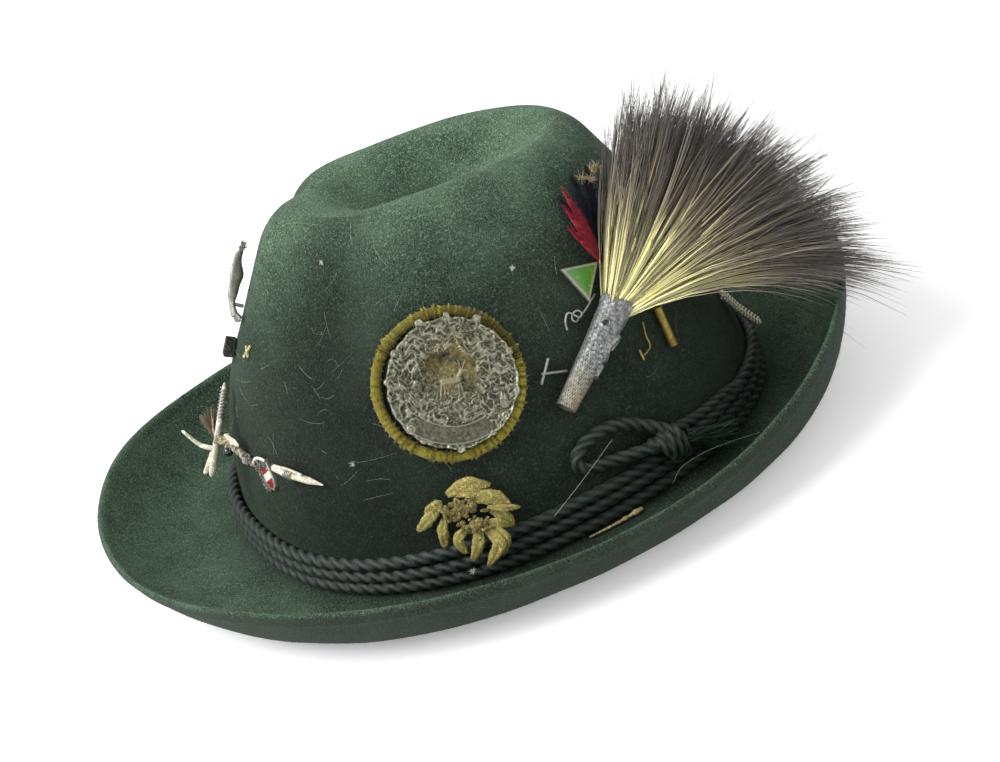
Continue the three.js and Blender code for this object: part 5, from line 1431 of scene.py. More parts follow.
def brush_axes():
    """Ends, axis, side and facing of the brush's holder, and the frame at its foot."""
    foot, mouth = on_wall(*HOLDER_FOOT), on_wall(*HOLDER_MOUTH)
    axis = unit(mouth - foot)
    facing = wall_normal(*HOLDER_MOUTH[:2])
    facing = unit(facing - axis * (facing @ axis))
    return foot, mouth, axis, np.cross(axis, facing), facing


class HAT_OT_holder(bpy.types.Operator):
    """Cast holder of the brush: a tapered tube like bark, with a scalloped mouth and a leaf in relief."""
    bl_idname = "hat.holder"
    bl_label = "Brush holder"

    def execute(self, context):
        own = settings("brush")
        foot, mouth, axis, side, facing = brush_axes()
        length = np.linalg.norm(mouth - foot)
        turn = full_turn(HOLDER_COLUMNS)
        share = np.linspace(0, 1, HOLDER_ROWS)[:, None]
        taper = mix(HOLDER_FOOT_RADIUS, HOLDER_MOUTH_RADIUS, share) * (1 - 0.03 * np.sin(np.pi * share))
        across, along = taper * np.sin(turn), share * length
        front = np.cos(turn) > -0.2
        leaf = np.zeros_like(across)
        for start, end, size, height in HOLDER_LEAVES:
            bar = capsule(across, along, start, end, size, height)
            vein = 1 - 0.4 * np.exp(-(capsule(across, along, start, end, size, 1.0) - 1) ** 2 / 0.004)
            leaf = np.maximum(leaf, bar * vein)
        leaf *= front
        arc = taper * (np.mod(turn + np.pi, 2 * np.pi) - np.pi)
        dimple = np.sin(5.6 * along) * np.sin(7.0 * arc + 1.5 * np.sign(np.sin(2.8 * along)))
        place = vec(across, along, taper * np.cos(turn))
        bark = 0.13 * dimple * np.clip(1.3 - share * 1.5, 0.15, 1) + 0.08 * ripple(place, 3.6, 13)
        away = np.hypot(across - HOLE_ACROSS, along - HOLE_ALONG)
        hole = -HOLE_DEPTH * np.clip(1 - (away / HOLE_RADIUS) ** 8, 0, 1) * front
        hem = 0.18 * np.clip(1 - ((away - 1.35) / 0.3) ** 2, 0, 1) * front
        shells = np.clip((along - length + 2.6) / 0.5, 0, 1) * (0.1 + 0.34 * np.abs(np.sin(SCALLOPS * turn)))
        lip = 0.15 * bell(share, 0.02, 0.015)
        radius = taper + leaf + bark + hole + hem + shells + lip
        scallop = 0.75 * np.abs(np.sin(SCALLOPS * turn)) * (share - 0.94) / 0.06
        rim = along + np.where(share > 0.94, scallop, 0.0)

        def ring(size, height):
            """Points round the holder's axis at a distance and a height."""
            return vec(size * np.sin(turn), height, size * np.cos(turn))

        bore, foot_bore = HOLDER_MOUTH_RADIUS - HOLDER_WALL, HOLDER_FOOT_RADIUS - HOLDER_WALL * 0.6
        inside = [ring(bore + 0.4, rim[-1] - 0.1), ring(bore, length - 1.2),
                  ring(bore, length - SOCKET_DEPTH)]
        hollow = [ring(foot_bore, 4.5), ring(foot_bore, 0.4), ring(foot_bore + 0.3, -0.05)]
        points = np.concatenate([np.stack(hollow), ring(radius, rim), np.stack(inside)])
        dirty = np.full((3, HOLDER_COLUMNS), 0.1)
        worn = np.clip(0.45 + 3.2 * bark + 0.2 * leaf + 0.6 * hole, 0, 1)
        mask = np.concatenate([dirty, worn, dirty])
        basis = (foot, np.stack([side, axis, facing]))
        shape = outward_faces(grid_shape(placed(points, basis), mask=mask))
        finish = metal_material("cast_holder", own.metal, own.dirt, 1500.0, from_mask=True)
        stain(finish, own.brass, foot + facing * HOLDER_FOOT_RADIUS + axis * 4, 1.0, 14.0, 0.4)
        make_piece("brush_holder_cast", shape, finish, ["brush_holder"])
        return {"FINISHED"}


class HAT_OT_hair(bpy.types.Operator):
    """Hair of the brush in three layers: hairs that fan from the holder's mouth and gather in clumps."""
    bl_idname = "hat.hair"
    bl_label = "Brush hair"

    def execute(self, context):
        own = settings("brush")
        finish = self.finish(own)
        names = ("brush_hair_back", "brush_hair_middle", "brush_hair_front")
        for index, name in enumerate(names):
            low = -1 + 2 * index / 3
            shape = self.layer(own, np.random.default_rng(51 + index), low, low + 2 / 3)
            make_piece(name, shape, finish, ["brush_hair"])
        return {"FINISHED"}

    def layer(self, own, rng, low, high):
        """Hairs whose depth in the brush lies between low and high, from -1 at the felt to 1 at the face.

        A hair's polar angle from the mouth grows with a power of its length, so it bends outwards. It is
        drawn to the middle of its lock, and each lock has its own length. Wisps of hairs share their noise.
        """
        _, mouth, axis, side, facing = brush_axes()
        count, locks, wisps = own.hair_count, LOCKS, WISPS
        plug = HOLDER_MOUTH_RADIUS - HOLDER_WALL - SEAT_GAP
        wisp = rng.integers(0, wisps, count)
        turn = mix(FAN_START - 1, FAN_END + 3, rng.beta(1.0, 1.05, wisps))[wisp] + rng.normal(0, 0.35, count)
        depth = np.clip(rng.uniform(low, high, wisps)[wisp] + rng.normal(0, 0.02, count), low, high)
        lock_turn = rng.uniform(FAN_START - 2, FAN_END + 4, locks)
        lock_depth = rng.uniform(low, high, locks)
        lock_size = rng.uniform(0.84, 1.06, locks)
        gap = (((turn[:, None] - lock_turn) / LOCK_ANGLE) ** 2
               + ((depth[:, None] - lock_depth) / LOCK_DEPTH) ** 2)
        near = gap.argmin(axis=1)
        loose = (rng.random(wisps) < LOOSE_SHARE)[wisp]
        tone = np.where(rng.random(count) < 0.8, rng.random(wisps)[wisp], rng.random(count))
        size = mix(0.7, 1.0, rng.random(wisps)[wisp] ** 0.45) * mix(0.88, 1.0, rng.random(count))
        length = (own.length / MM + 0.48 * turn) * size
        length *= np.where(loose, 1.02, lock_size[near])
        share = np.linspace(0, 1, HAIR_POINTS)
        pull = np.where(loose, 0.0, LOCK_PULL)[:, None] * share ** 1.3
        bend = np.where(turn > 0, BEND_UP, BEND_DOWN)[:, None]
        way = (mix(turn[:, None], lock_turn[near][:, None], pull) * (1 - bend + bend * share ** 0.8)
               + rng.normal(0, 1.2, (wisps, 1))[wisp] * (1 - share) + np.where(loose, 6.0, 1.6)[:, None]
               * rng.normal(0, 1.0, (wisps, 1))[wisp] * share ** 1.5 + rng.normal(0, 0.4, (count, 1)) * share)
        layer_depth = mix(depth[:, None], lock_depth[near][:, None], pull)
        bow = (rng.normal(0, 1.8, (wisps, 1))[wisp] * np.sin(np.pi * share)
               + rng.normal(0, 0.25, (count, 1)) * share)
        droop = (1.2 + 0.03 * np.maximum(turn, 0)[:, None] + rng.normal(0, 1.0, (count, 1))) * share ** 2.2
        droop *= np.where(loose & (turn > 38) & (rng.random(count) < 0.35), 3.5, 1.0)[:, None]
        radial = np.radians(way)
        run = length[:, None] * share
        start = (mouth - axis * 3.5 + side * (plug * 0.85 * (turn - 12.5) / 40)[:, None]
                 + facing * (plug * 0.8 * depth)[:, None])
        opening = np.sin(np.pi * 0.5 * np.minimum(1, share * 1.35)) ** 0.9
        spread = HAIR_THICKNESS / 2 * layer_depth * opening * 0.86
        wander = (rng.normal(0, 1.6, (wisps, 1)) * share ** 2
                  + rng.normal(0, 0.8, (wisps, 1)) * np.sin(7 * share))[wisp]
        paths = (start[:, None] + axis * (run * np.cos(radial))[..., None]
                 + side * (run * np.sin(radial) + bow)[..., None]
                 + facing * (spread + wander)[..., None] - UPWARD * droop[..., None])
        radius = own.hair_radius / MM * HAIR_TAPER * rng.choice(HAIR_SIZES, (count, 1), p=HAIR_SIZE_SHARES)
        return strands(paths, radius, facing, tone=tone)

    def finish(self, own):
        """Hair that runs from cream at its root through brown to a dark tip, each hair at its own place."""
        material, tree, shader = new_material("brush_hair", 0.36)
        shader.inputs["Specular IOR Level"].default_value = 0.6
        parts = add_node(tree, "SeparateXYZ", {"Vector": surface_place(tree)})
        tone = add_node(tree, "TexWhiteNoise", {"W": parts.outputs["X"]}, noise_dimensions="1D")
        slide = add_math(tree, "MULTIPLY", add_math(tree, "SUBTRACT", tone.outputs["Value"], 0.5), 0.4)
        place = add_math(tree, "ADD", parts.outputs["Y"], slide)
        pale = add_mix(tree, add_range(tree, place, 0.2, 0.5), own.root, own.middle)
        colour = add_mix(tree, add_range(tree, place, 0.46, 0.8), pale, own.tip)
        shade = add_node(tree, "SeparateXYZ", {"Vector": tone.outputs["Color"]})
        factor = add_math(tree, "POWER", shade.outputs["Y"], 2.6)
        factor = add_range(tree, factor, 0.0, 1.0, 0.26, 2.6)
        tree.links.new(add_product(tree, colour, factor), shader.inputs["Base Color"])
        return material


class HAT_OT_wires(bpy.types.Operator):
    """Bent wire and pin beside the holder, the brass sleeve and its hook."""
    bl_idname = "hat.wires"
    bl_label = "Wires and sleeve"

    def execute(self, context):
        own = settings("brush")
        wire = metal_material("dull_wire", own.wire, own.dirt, 900.0, 0.6)
        outward = wall_normal(98.0, 0.5)
        curl = tube(wall_curve(BRUSH_WIRE, 150), outward, WIRE_RADIUS * 0.65)
        make_piece("brush_wire_round", curl, wire, ["brush_wire"])
        stem = tube(wall_curve(PIN_STEM, 24), outward, WIRE_RADIUS * 0.85)
        head = tube(wall_curve(PIN_HEAD, 24), outward, WIRE_RADIUS)
        make_piece("brush_pin_round", join([stem, head]), wire, ["brush_pin"])
        hook = tube(wall_curve(TUBE_HOOK, 70), outward, WIRE_RADIUS * 0.6)
        bar = tube(wall_curve(HOOK_BAR, 20), outward, WIRE_RADIUS * 0.8)
        gilt = metal_material("gilt_wire", own.brass, own.dirt, 900.0, 0.75)
        make_piece("tube_hook_round", join([hook, bar]), gilt, ["tube_hook"])
        foot, mouth = wall_path(BRASS_TUBE)
        axis = unit(mouth - foot)
        length = np.linalg.norm(mouth - foot)
        across = unit(np.cross(axis, [0.3, 0.2, 0.9]))
        turn = full_turn(40)
        table = np.array([
            (0.0, 1.1), (-0.05, 1.4), (0.15, 1.78), (0.6, 1.78), (0.8, 1.62), (3.0, 1.6), (3.2, 1.5),
            (3.4, 1.6),
            (length - 0.8, 1.62), (length - 0.6, 1.75), (length, 1.7), (length, 1.15), (length * 0.5, 1.1),
        ])
        local = vec(table[:, 1:] * np.cos(turn), table[:, 1:] * np.sin(turn), table[:, :1])
        basis = (foot, np.stack([across, np.cross(axis, across), axis]))
        shape = outward_faces(grid_shape(placed(local, basis), wrap_rows=True))
        brass = metal_material("old_brass", own.brass, (0.05, 0.034, 0.01), 700.0, 0.62)
        make_piece("brass_tube_turned", shape, brass, ["brass_tube"])
        return {"FINISHED"}


class HAT_OT_feathers(bpy.types.Operator):
    """Short feathers behind the brush: a quill and two rows of barbs each."""
    bl_idname = "hat.feathers"
    bl_label = "Feathers"

    def execute(self, context):
        own = settings("feather")
        rng = np.random.default_rng(61)
        dark = thread_material("dark_feather", own.dark, scaled(own.dark, 0.6), 0.9, 0.45)
        red = thread_material("red_feather", scaled(own.red, 0.55), own.red, 0.7, 0.6)
        cream = thread_material("cream_down", own.cream, own.cream, 0.5, 0.8)
        self.group("dark_feather_vanes", DARK_FEATHERS, 2.6, dark, "dark_feather", ["dark_feathers"], rng)
        self.group("red_feather_vanes", RED_FEATHERS, 1.75, red, "red_feather", ["red_feathers"], rng)
        down = []
        for place in DOWN_PLACES:
            root = on_wall(*place)
            away = unit(rng.normal(size=(DOWN_COUNT, 3)) + wall_normal(*place[:2]) * 0.8)
            reach = rng.uniform(1.6, 3.4, (DOWN_COUNT, 1))
            share = np.linspace(0, 1, 5)[None, :, None]
            curl = rng.normal(size=(DOWN_COUNT, 1, 3)) * 0.8 * share ** 2
            down.append(root + away[:, None] * reach[:, None] * share + curl)
        shape = strands(np.concatenate(down), DOWN_RADIUS * np.linspace(1, 0.4, 5), np.array([0.3, 0.4, 0.8]))
        make_piece("cream_down_bits", shape, cream)
        return {"FINISHED"}

    def group(self, name, rows, half, finish, slot, replaced, rng):
        """Feathers that share a root: a slim vane whose half width swells and ends in a point, split along
        its edge, with fine barbs that leave the quill at a slant."""
        root = on_wall(*FEATHER_ROOT, rows[0][2])
        outward = wall_normal(*FEATHER_ROOT)
        parts = []
        for angle, level, lift, width in rows:
            tip = on_wall(angle, level, lift)
            share = np.linspace(0, 1, VANE_POINTS)
            curl = 1.4 * np.sin(np.pi * share) + 0.8 * share ** 2
            path = mix(root, tip, share[:, None]) + outward * curl[:, None]
            swell = half * width * np.sin(np.pi * (0.06 + 0.94 * share)) ** 0.75
            split = 1 - 0.2 * np.maximum(0, np.sin(17 * share + rng.uniform(0, 6))) ** 6
            parts.append(tube(path, outward, swell * split + 0.12, 0.28 + 0.1 * swell, sides=14))
            along = unit(tip - root)
            aside = np.cross(outward, along)
            count = BARB_COUNT
            place = np.sort(rng.uniform(0.08, 1.0, count))
            side = np.where(rng.random(count) > 0.5, 1.0, -1.0)
            reach = half * width * np.sin(np.pi * (0.06 + 0.94 * place)) ** 0.75
            run = np.linspace(0, 1, 6)
            start = np.stack([np.interp(place, share, path[:, axis]) for axis in range(3)], 1)
            out = side * (reach + rng.uniform(0.0, 0.7, count))
            barbs = (start[:, None] + aside * (out[:, None] * run)[..., None]
                     + along * (1.9 * run ** 1.3)[None, :, None]
                     + outward * (0.42 + rng.normal(0, 0.08, (count, 1)) * run)[..., None])
            parts.append(strands(barbs, BARB_RADIUS * np.linspace(1, 0.4, 6), outward,
                                 tone=rng.random(count)))
        make_piece(name, join(parts), finish, replaced)


def enamel_material(name, colour, bands=None):
    """Glossy enamel with fine scratches; bands are another colour between two heights of the UV map."""
    material, tree, shader = new_material(name, 0.22, coat_weight=0.6, coat_roughness=0.08)
    place = add_stretch(tree, object_place(tree), (1, 0.1, 1), (0.3, 0.6, 0.2))
    scratch = add_noise(tree, place, 1800.0, 2.0)
    base = add_node(tree, "RGB").outputs[0]
    base.default_value = (*colour, 1.0)
    if bands is not None:
        other, low, high = bands
        height = add_node(tree, "SeparateXYZ", {"Vector": surface_place(tree)}).outputs["Y"]
        inside = add_math(tree, "MULTIPLY", add_math(tree, "GREATER_THAN", height, low),
                          add_math(tree, "LESS_THAN", height, high))
        base = add_mix(tree, inside, base, other)
    worn = add_range(tree, scratch, 0.62, 0.75, 0.0, 0.35)
    tree.links.new(add_mix(tree, worn, base, (0.7, 0.7, 0.64)), shader.inputs["Base Color"])
    add_bump(tree, shader, scratch, 0.2, 0.00008)
    return material


class HAT_OT_enamel(bpy.types.Operator):
    """Enamel of the pennant and of the small shield, in their silver frames."""
    bl_idname = "hat.enamel"
    bl_label = "Enamel badges"

    def execute(self, context):
        own = settings("badge")
        silver = metal_material("badge_silver", own.silver, own.silver_dark, 800.0, 0.75)
        dress_node("pennant_pin", silver)
        dress_node("shield_pin", silver)
        turn = np.radians([90, 210, 330])
        reach = PENNANT_SIDE / np.sqrt(3) * 0.8
        corners = np.stack([np.cos(turn), np.sin(turn)], 1) * reach
        outline = subdivided(rounded(corners, 0.5), 0.8)
        field = placed_plate(outline, PENNANT)
        make_piece("pennant_enamel", field, enamel_material("green_enamel", own.green))
        half, top = SHIELD_WIDTH / 2 * 0.8, SHIELD_HEIGHT / 2 * 0.82
        shape = [(-half, top), (half, top), (half, -top * 0.35), (half * 0.62, -top * 0.8), (0, -top),
                 (-half * 0.62, -top * 0.8), (-half, -top * 0.35)]
        outline = subdivided(rounded(shape, 0.35), 0.5)
        shield = placed_plate(outline, SHIELD, height_uv=(-top, top))
        finish = enamel_material("shield_enamel", own.red, (own.white, 0.36, 0.64))
        make_piece("shield_enamel", shield, finish)
        return {"FINISHED"}


def placed_plate(outline, place, height_uv=None):
    """Enamel plate set on the wall; its UV map can run with its height between two bounds."""
    shape = plate(outline, *ENAMEL_PLATE)
    if height_uv is not None:
        low, high = height_uv
        height = (shape["points"][:, 1] - low) / (high - low)
        shape["quad_uv"][..., 1] = height[shape["quads"]]
        shape["tri_uv"][..., 1] = height[shape["tris"]]
    shape["points"] = placed(shape["points"], wall_basis(*place))
    return outward_faces(shape)


class HAT_OT_braid(bpy.types.Operator):
    """Bar pin braided from three silver wires."""
    bl_idname = "hat.braid"
    bl_label = "Braided pin"

    def execute(self, context):
        own = settings("badge")
        finish = metal_material("braid_silver", srgb(236, 232, 210), own.silver_dark, 1400.0, 0.75)
        path = wall_curve(BRAID, BRAID_POINTS)
        outward = wall_normal(*BRAID[0][:2])
        across, up = path_axes(path, outward)
        share = np.linspace(0, 1, len(path))
        wires = []
        for phase in (0.0, 2 * np.pi / 3, 4 * np.pi / 3):
            turn = 2 * np.pi * BRAID_TURNS * share + phase
            wave = (path + across * (BRAID_WIDTH * np.sin(turn))[:, None]
                    + up * (BRAID_LIFT * np.sin(2 * turn))[:, None])
            wires.append(tube(wave, outward, 0.85, 0.75, sides=8))
        ends = beads(path[[0, -1]], [1.7, 1.7], 0.7, outward, 8, 14)
        make_piece("braided_pin_wires", join(wires + [ends]), finish, ["braided_pin"])
        return {"FINISHED"}


class HAT_OT_front(bpy.types.Operator):
    """Cast pin at the front of the crown, with the dark wedge and the small cross below it."""
    bl_idname = "hat.front"
    bl_label = "Front pins"

    def execute(self, context):
        own = settings("badge")
        rng = np.random.default_rng(71)
        finish = metal_material("figure_metal", own.silver, own.silver_dark, 600.0, 0.5)
        table = np.array(FIGURE_ROWS)
        path = wall_curve(table, FIGURE_POINTS)
        share = np.linspace(0, len(table) - 1, FIGURE_POINTS)
        deep = np.interp(share, np.arange(len(table)), table[:, 3]) * 2.6
        wide = np.interp(share, np.arange(len(table)), table[:, 4]) * 1.5
        around = full_turn(FIGURE_SIDES)
        carve = 1 + 0.1 * np.sin(3 * around + 0.5 * share[:, None]) + 0.07 * np.sin(4.2 * share[:, None])
        body = tube(path, RIGHTWARD, deep[:, None] * carve, wide[:, None] * carve, sides=FIGURE_SIDES)
        outward = wall_normal(*FIGURE_ROWS[0][:2])
        toe = on_wall(*FIGURE_TOE)
        boot = petal([path[-1], (path[-1] + toe) / 2, toe], outward, 3.2, 2.6, rng)
        foot = on_wall(*FIGURE_ROWS[-2][:2], SEAT_GAP)
        post = tube(smooth_path([foot, path[56]], 12), UPWARD, 0.7)
        lean = path[0] + (path[0] - path[6]) * 0.2
        crest = lean + rng.normal(size=(FIGURE_HAIRS, 3)) * 0.5
        way = unit((path[0] - path[8]) * 1.2 + rng.normal(size=(FIGURE_HAIRS, 3)) * 0.9)
        run = np.linspace(0, 1, 6)[None, :, None]
        lock = (crest[:, None] + way[:, None] * run * rng.uniform(1.0, 2.6, (FIGURE_HAIRS, 1, 1))
                + rng.normal(size=(FIGURE_HAIRS, 1, 3)) * 0.5 * run ** 2)
        hair = strands(lock, 0.22 * np.linspace(1, 0.3, 6), outward, sides=5)
        make_piece("figure_pin_cast", join([body, boot, post, hair]), finish, ["figure_pin"])
        dress_node("front_wedge", fibre_material("dark_wedge", srgb(30, 30, 27), srgb(72, 70, 62), 1200.0))
        cream = fibre_material("cream_cross", srgb(120, 108, 74), srgb(206, 196, 150), 1500.0)
        dress_node("crown_cross", cream)
        return {"FINISHED"}


def coil(start, end, radius, turns, wire, lift=0.0):
    """Wire wound round the line between two points."""
    share = np.linspace(0, 1, int(turns * 16))[:, None]
    axis = unit(end - start)
    across = unit(np.cross(axis, SLANT))
    up = np.cross(axis, across)
    turn = 2 * np.pi * turns * share
    path = mix(start, end, share) + (across * np.cos(turn) + up * np.sin(turn)) * radius + up * lift
    return tube(path, axis, wire, sides=8)


class HAT_OT_alpine(bpy.types.Operator):
    """Alpine badge: carved sticks crossed on a scaly forked twig, bristles, a dark bead and wire bindings."""
    bl_idname = "hat.alpine"
    bl_label = "Alpine badge"

    def execute(self, context):
        own = settings("badge")
        rng = np.random.default_rng(81)
        outward = RIGHTWARD
        bone = fibre_material("carved_bone", scaled(own.bone, 0.66), own.bone, 700.0, 0.0002, 0.5)
        twig = fibre_material("scaly_twig", scaled(own.twig, 0.3), own.twig, 1000.0, 0.0008, 0.7)
        wire = metal_material("binding_wire", own.silver, own.silver_dark, 900.0, 0.7)

        def stick(rows, size, count=50):
            """Stick with rounded ends and three soft edges, and the curve that it follows."""
            sides = 14
            path = wall_curve(rows, count)
            share = np.linspace(0, 1, count)
            end = np.minimum(1.0, np.sqrt(np.clip(np.minimum(share, 1 - share) * 18, 0.02, 1)))
            facets = 1 + 0.05 * np.sin(3 * np.arange(sides) * 2 * np.pi / sides)
            return tube(path, outward, (size(share) * end)[:, None] * facets, sides=sides), path

        long, long_path = stick(LONG_STICK, lambda share: 1.15 * (0.75 + 0.35 * share), 70)
        curved, _ = stick(CURVED_STICK, lambda share: 0.92 * (1.1 - 0.5 * share))
        short, _ = stick(SHORT_STICK, lambda share: 0.86 * np.ones_like(share), 30)
        blade = wall_path([(-3, 0.395, 6.5), (-0.9, 0.392, 5.5), (1.2, 0.385, 4.2)])
        fin = petal(blade, wall_normal(0.0, 0.39), 3.2, 1.0, rng)
        cap = beads(on_wall(BEAD[0], BEAD[1] + 0.022, BEAD[2] + 0.2), 1.3, 0.55, (0.0, -0.3, 1.0), 8, 14)
        make_piece("badge_sticks_bone", join([long, curved, short, fin, cap]), bone, ["badge_sticks"])

        path = wall_curve(TWIG, TWIG_POINTS)
        share = np.linspace(0, 1, TWIG_POINTS)
        around = full_turn(TWIG_SIDES)
        scale = 1 + 0.16 * np.abs(np.sin(2 * around + 46 * share[:, None])) * np.sin(60 * share[:, None])
        stem = tube(path, outward, 1.5 * (1.1 - 0.3 * share)[:, None] * scale, sides=TWIG_SIDES)
        fork, _ = stick(FORK, lambda share: 1.2 * (1 - 0.5 * share), 24)
        make_piece("badge_twig", join([stem, fork]), twig)

        root = on_wall(*BRISTLE_ROOT)
        ends = wall_path(BRISTLE_ROWS)
        pick = rng.random((BRISTLE_COUNT, 1))
        tip = mix(mix(ends[0], ends[1], pick), mix(ends[1], ends[2], pick), pick)
        tip = tip + rng.normal(size=(BRISTLE_COUNT, 3)) * 0.4
        tip = mix(root, tip, rng.uniform(0.8, 1.12, (BRISTLE_COUNT, 1)))
        run = np.linspace(0, 1, 5)[None, :, None]
        threads = mix(root + rng.normal(size=(BRISTLE_COUNT, 1, 3)) * 0.25, tip[:, None], run)
        bristle = strands(threads, 0.13 * np.linspace(1, 0.4, 5), outward, sides=4)
        dark = thread_material("bristles", scaled(own.bristle, 0.5), own.bristle, 0.9)
        make_piece("badge_bristle_fan", bristle, dark, ["badge_bristles"])
        thorns = []
        for place in THORNS:
            line = mix(root, on_wall(*place), np.linspace(0, 1, 12)[:, None])
            thorns.append(tube(line, outward, 0.55 * np.linspace(1, 0.25, 12), sides=8))
        make_piece("badge_thorns", join(thorns), twig)

        material, tree, shader = new_material("black_bead", 0.15, coat_weight=0.8)
        cloud = add_noise(tree, object_place(tree), 900.0, 3.0)
        glass = add_mix(tree, cloud, (0.004, 0.004, 0.005), (0.02, 0.02, 0.022))
        tree.links.new(glass, shader.inputs["Base Color"])
        bead = beads(on_wall(*BEAD), 1.7, 1.15, (0.1, -0.4, 0.9), 16, 24)
        make_piece("badge_bead_black", bead, material, ["badge_bead"])

        wires = [coil(long_path[4], long_path[26], 1.15, 9, 0.3)]
        wires += [coil(path[20], path[42], 1.9, 3, 0.22), coil(path[66], path[84], 1.75, 4, 0.28, 0.2)]
        loop = path[74] + wall_normal(3.0, 0.34) * 1.2
        wires.append(coil(loop, loop + np.array([1.4, 0.2, 3.0]), 1.5, 2.6, 0.26))
        make_piece("badge_wires", join(wires), wire)
        self.cap(own, rng)
        self.shaft(bone, wire)
        return {"FINISHED"}

    def cap(self, own, rng):
        """Filigree over the shield's top and along its flank: granules and small rings of wire."""
        basis = wall_basis(*SHIELD)
        dots = np.concatenate([
            np.stack([rng.uniform(-4.4, 2.6, 90), rng.uniform(3.6, 7.4, 90), rng.uniform(1.4, 2.7, 90)], 1),
            np.stack([rng.uniform(-5.4, -3.2, 80), rng.uniform(-4.4, 4.0, 80), rng.uniform(0.9, 1.7, 80)], 1),
        ])
        grains = beads(placed(dots, basis), rng.uniform(0.28, 0.5, len(dots)), 0.9, basis[1][2], 4, 6)
        top = rounded([(-4.4, 3.4), (2.8, 3.4), (2.2, 7.2), (-2.6, 7.6)], 0.8)
        side = rounded([(-5.6, -3.6), (-3.2, -5.4), (-3.2, 3.6), (-5.4, 3.6)], 0.4)
        bed = plate(subdivided(top, 0.6), 0.6, 1.9, 0.4)
        flank = plate(subdivided(side, 0.6), 0.4, 1.3, 0.3)
        for piece in (bed, flank):
            piece["points"] = placed(piece["points"], basis)
        finish = metal_material("filigree", own.silver, own.silver_dark, 900.0, 0.45)
        shape = join([outward_faces(bed), outward_faces(flank), grains])
        make_piece("shield_filigree", shape, finish)
        arc = np.array([(-5.0, 6.8, 2.0), (-2.2, 7.9, 2.6), (1.2, 7.4, 2.6), (3.6, 5.2, 1.8)])
        arc = smooth_path(placed(arc, basis), 40)
        pale = enamel_material("white_enamel", own.white)
        make_piece("shield_crest", tube(arc, basis[1][2], 0.6, 0.45, sides=12), pale)

    def shaft(self, bone, wire):
        """Pointed shaft with a thin rod beside it, bound by wire."""
        path = wall_curve(SHAFT, SHAFT_POINTS)
        share = np.linspace(0, 1, SHAFT_POINTS)
        point = 1 - 0.82 * (np.clip(share - 0.72, 0, 1) / 0.28) ** 1.3
        outward = wall_normal(20.0, 0.36)
        blunt = np.sqrt(np.clip(share * 25, 0.05, 1))
        body = tube(path, outward, 1.35 * point * blunt, sides=18)
        rod = tube(wall_curve(ROD, 50), outward, 0.5, sides=10)
        make_piece("axe_shaft", join([body, rod]), bone, ["axe_pin"])
        ends = wall_path(BINDING)
        wires = [coil(*ends, 1.8, 4.5, 0.3),
                 coil(ends[0] + [0.8, 0, 0.8], ends[1] + [0.4, 0, 1.0], 1.2, 3, 0.24)]
        make_piece("axe_binding", join(wires), wire)


# Loose hairs as points of angle, level and lift, and specks of lint
STRAY_HAIRS = [
    [(93, 0.234, 7), (89.8, 0.195, 6), (85.5, 0.155, 6.5), (80, 0.114, 8)],
    [(99.9, 0.029, 9), (102.4, 0.062, 10), (107.5, 0.067, 12), (113, 0.051, 14), (120, 0.021, 17)],
]
LINT = [(92, 0.76, 0.2), (28, 0.9, 0.2), (40, 0.4, 0.2), (62, 0.05, 9)]


class HAT_OT_lint(bpy.types.Operator):
    """A few loose hairs and specks of lint on the felt."""
    bl_idname = "hat.lint"
    bl_label = "Lint"

    def execute(self, context):
        rng = np.random.default_rng(91)
        long = np.stack([wall_curve(rows, 40) for rows in STRAY_HAIRS])
        shape = strands(long, 0.05, SLANT, sides=5)
        fluffs = []
        for angle, level, lift in LINT:
            root = on_wall(angle, level, lift)
            away = unit(rng.normal(size=(SPECK_HAIRS, 3)) + wall_normal(angle, level) * 0.4)
            run = np.linspace(0, 1, 5)[None, :, None]
            fluffs.append(root + away[:, None] * run * rng.uniform(0.3, 1.3, (SPECK_HAIRS, 1, 1))
                          + rng.normal(size=(SPECK_HAIRS, 1, 3)) * 0.4 * run ** 2)
        lint = strands(np.concatenate(fluffs), 0.06, SLANT)
        count = FINE_HAIRS
        run = np.linspace(0, 1, 6)
        angle = rng.uniform(-60, 200, (count, 1)) + rng.normal(0, 4, (count, 1)) * run
        climb = rng.normal(0, 0.022, (count, 1)) * run + rng.normal(0, 0.02, (count, 1)) * run ** 2
        level = np.clip(rng.uniform(0.3, 1.0, (count, 1)) + climb, 0.25, 0.99)
        fine = strands(on_wall(angle, level, 0.4 + rng.uniform(0, 0.4, (count, 1)) * run), FINE_RADIUS, SLANT)
        finish = thread_material("lint", srgb(190, 190, 176), srgb(226, 226, 214), 0.4, 0.7)
        make_piece("stray_hairs", join([shape, lint, fine]), finish)
        return {"FINISHED"}


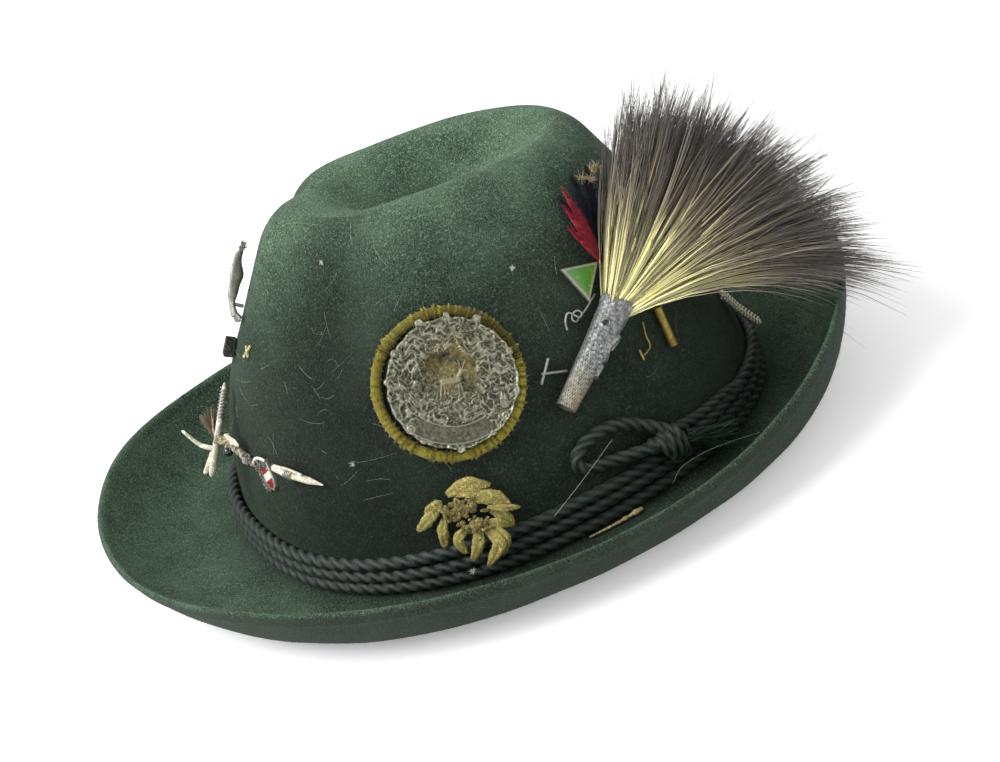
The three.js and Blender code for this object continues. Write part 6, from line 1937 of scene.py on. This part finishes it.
class HAT_OT_stage(bpy.types.Operator):
    """Pale floor, soft light and the camera."""
    bl_idname = "hat.stage"
    bl_label = "Stage"

    def execute(self, context):
        own = settings("stage")
        scene = context.scene
        mesh = bpy.data.meshes.new("floor")
        corners = [(x * FLOOR_REACH, y * FLOOR_REACH, 0) for x, y in ((-1, -1), (1, -1), (1, 1), (-1, 1))]
        mesh.from_pydata(corners, [], [(0, 1, 2, 3)])
        floor = bpy.data.objects.new("floor", mesh)
        scene.collection.objects.link(floor)
        material, tree, shader = new_material("pale_floor", 0.9, emission_strength=0.3)
        shader.inputs["Emission Color"].default_value = (1.0, 1.0, 1.0, 1.0)
        grain = add_range(tree, add_noise(tree, object_place(tree), 3.0), 0.3, 0.7, 0.985, 1.0)
        tree.links.new(add_product(tree, own.floor, grain), shader.inputs["Base Color"])
        mesh.materials.append(material)

        azimuth, elevation, roll = (np.radians(value) for value in (own.azimuth, own.elevation, own.roll))
        back = Vector((np.sin(azimuth) * np.cos(elevation), -np.cos(azimuth) * np.cos(elevation),
                       np.sin(elevation)))
        right = Vector((np.cos(azimuth), np.sin(azimuth), 0.0))
        up = back.cross(right)
        turned = right * np.cos(roll) + up * np.sin(roll)
        upright = up * np.cos(roll) - right * np.sin(roll)
        target = Vector((SHIFT[0] * MM, SHIFT[1] * MM, VIEW_HEIGHT))
        lens = bpy.data.cameras.new("camera")
        lens.lens, lens.sensor_width = own.lens, SENSOR_WIDTH
        lens.shift_x, lens.shift_y = own.shift_x, own.shift_y
        camera = bpy.data.objects.new("camera", lens)
        scene.collection.objects.link(camera)
        matrix = Matrix((turned, upright, back)).transposed().to_4x4()
        matrix.translation = target + back * own.distance
        camera.matrix_world = matrix
        scene.camera = camera

        for name, place, width, power in (
            ("key_light", KEY_PLACE, KEY_WIDTH, own.key),
            ("fill_light", FILL_PLACE, FILL_WIDTH, own.fill),
        ):
            lamp = bpy.data.lights.new(name, "AREA")
            lamp.energy, lamp.size = power, width
            light = bpy.data.objects.new(name, lamp)
            scene.collection.objects.link(light)
            light.location = place
            light.rotation_euler = (Vector(place) - target).to_track_quat("Z", "Y").to_euler()
        world = bpy.data.worlds.new("studio")
        world.use_nodes = True
        background = world.node_tree.nodes["Background"]
        background.inputs["Color"].default_value = (1.0, 1.0, 1.0, 1.0)
        background.inputs["Strength"].default_value = own.sky
        scene.world = world
        scene.view_settings.view_transform = "Standard"
        return {"FINISHED"}


OPERATORS = [
    HAT_OT_felt, HAT_OT_nap, HAT_OT_cords, HAT_OT_knot, HAT_OT_medal, HAT_OT_flowers, HAT_OT_holder,
    HAT_OT_hair, HAT_OT_wires, HAT_OT_feathers, HAT_OT_enamel, HAT_OT_braid, HAT_OT_front, HAT_OT_alpine,
    HAT_OT_lint, HAT_OT_stage,
]


class HAT_PT_panel(bpy.types.Panel):
    """Settings and builders of the felt hat."""
    bl_idname = "HAT_PT_panel"
    bl_label = "Felt hat"
    bl_space_type = "VIEW_3D"
    bl_region_type = "UI"
    bl_category = "Hat"

    def draw(self, context):
        """A box for each group of settings, and a button for each builder."""
        for name, group in SETTINGS.items():
            box = self.layout.box()
            for field in group.__annotations__:
                box.prop(getattr(context.scene, name), field)
        for operator in OPERATORS:
            self.layout.operator(operator.bl_idname)


def register():
    """Adds the settings, the builders and the panel."""
    for group in SETTINGS.values():
        bpy.utils.register_class(group)
    for name, group in SETTINGS.items():
        setattr(bpy.types.Scene, name, PointerProperty(type=group))
    for item in OPERATORS + [HAT_PT_panel]:
        bpy.utils.register_class(item)


def unregister():
    """Takes them away again, in the opposite order."""
    for item in [HAT_PT_panel] + OPERATORS[::-1]:
        bpy.utils.unregister_class(item)
    for name, group in SETTINGS.items():
        delattr(bpy.types.Scene, name)
        bpy.utils.unregister_class(group)


def plain(bounds):
    """Corners as lists of numbers."""
    return [[float(value) for value in corner] for corner in bounds]


def main():
    """Builds every piece and the stage."""
    register()
    for operator in OPERATORS:
        group, name = operator.bl_idname.split(".")
        getattr(getattr(bpy.ops, group), name)()
    bpy.context.view_layer.update()


if __name__ == "__main__":
    main()
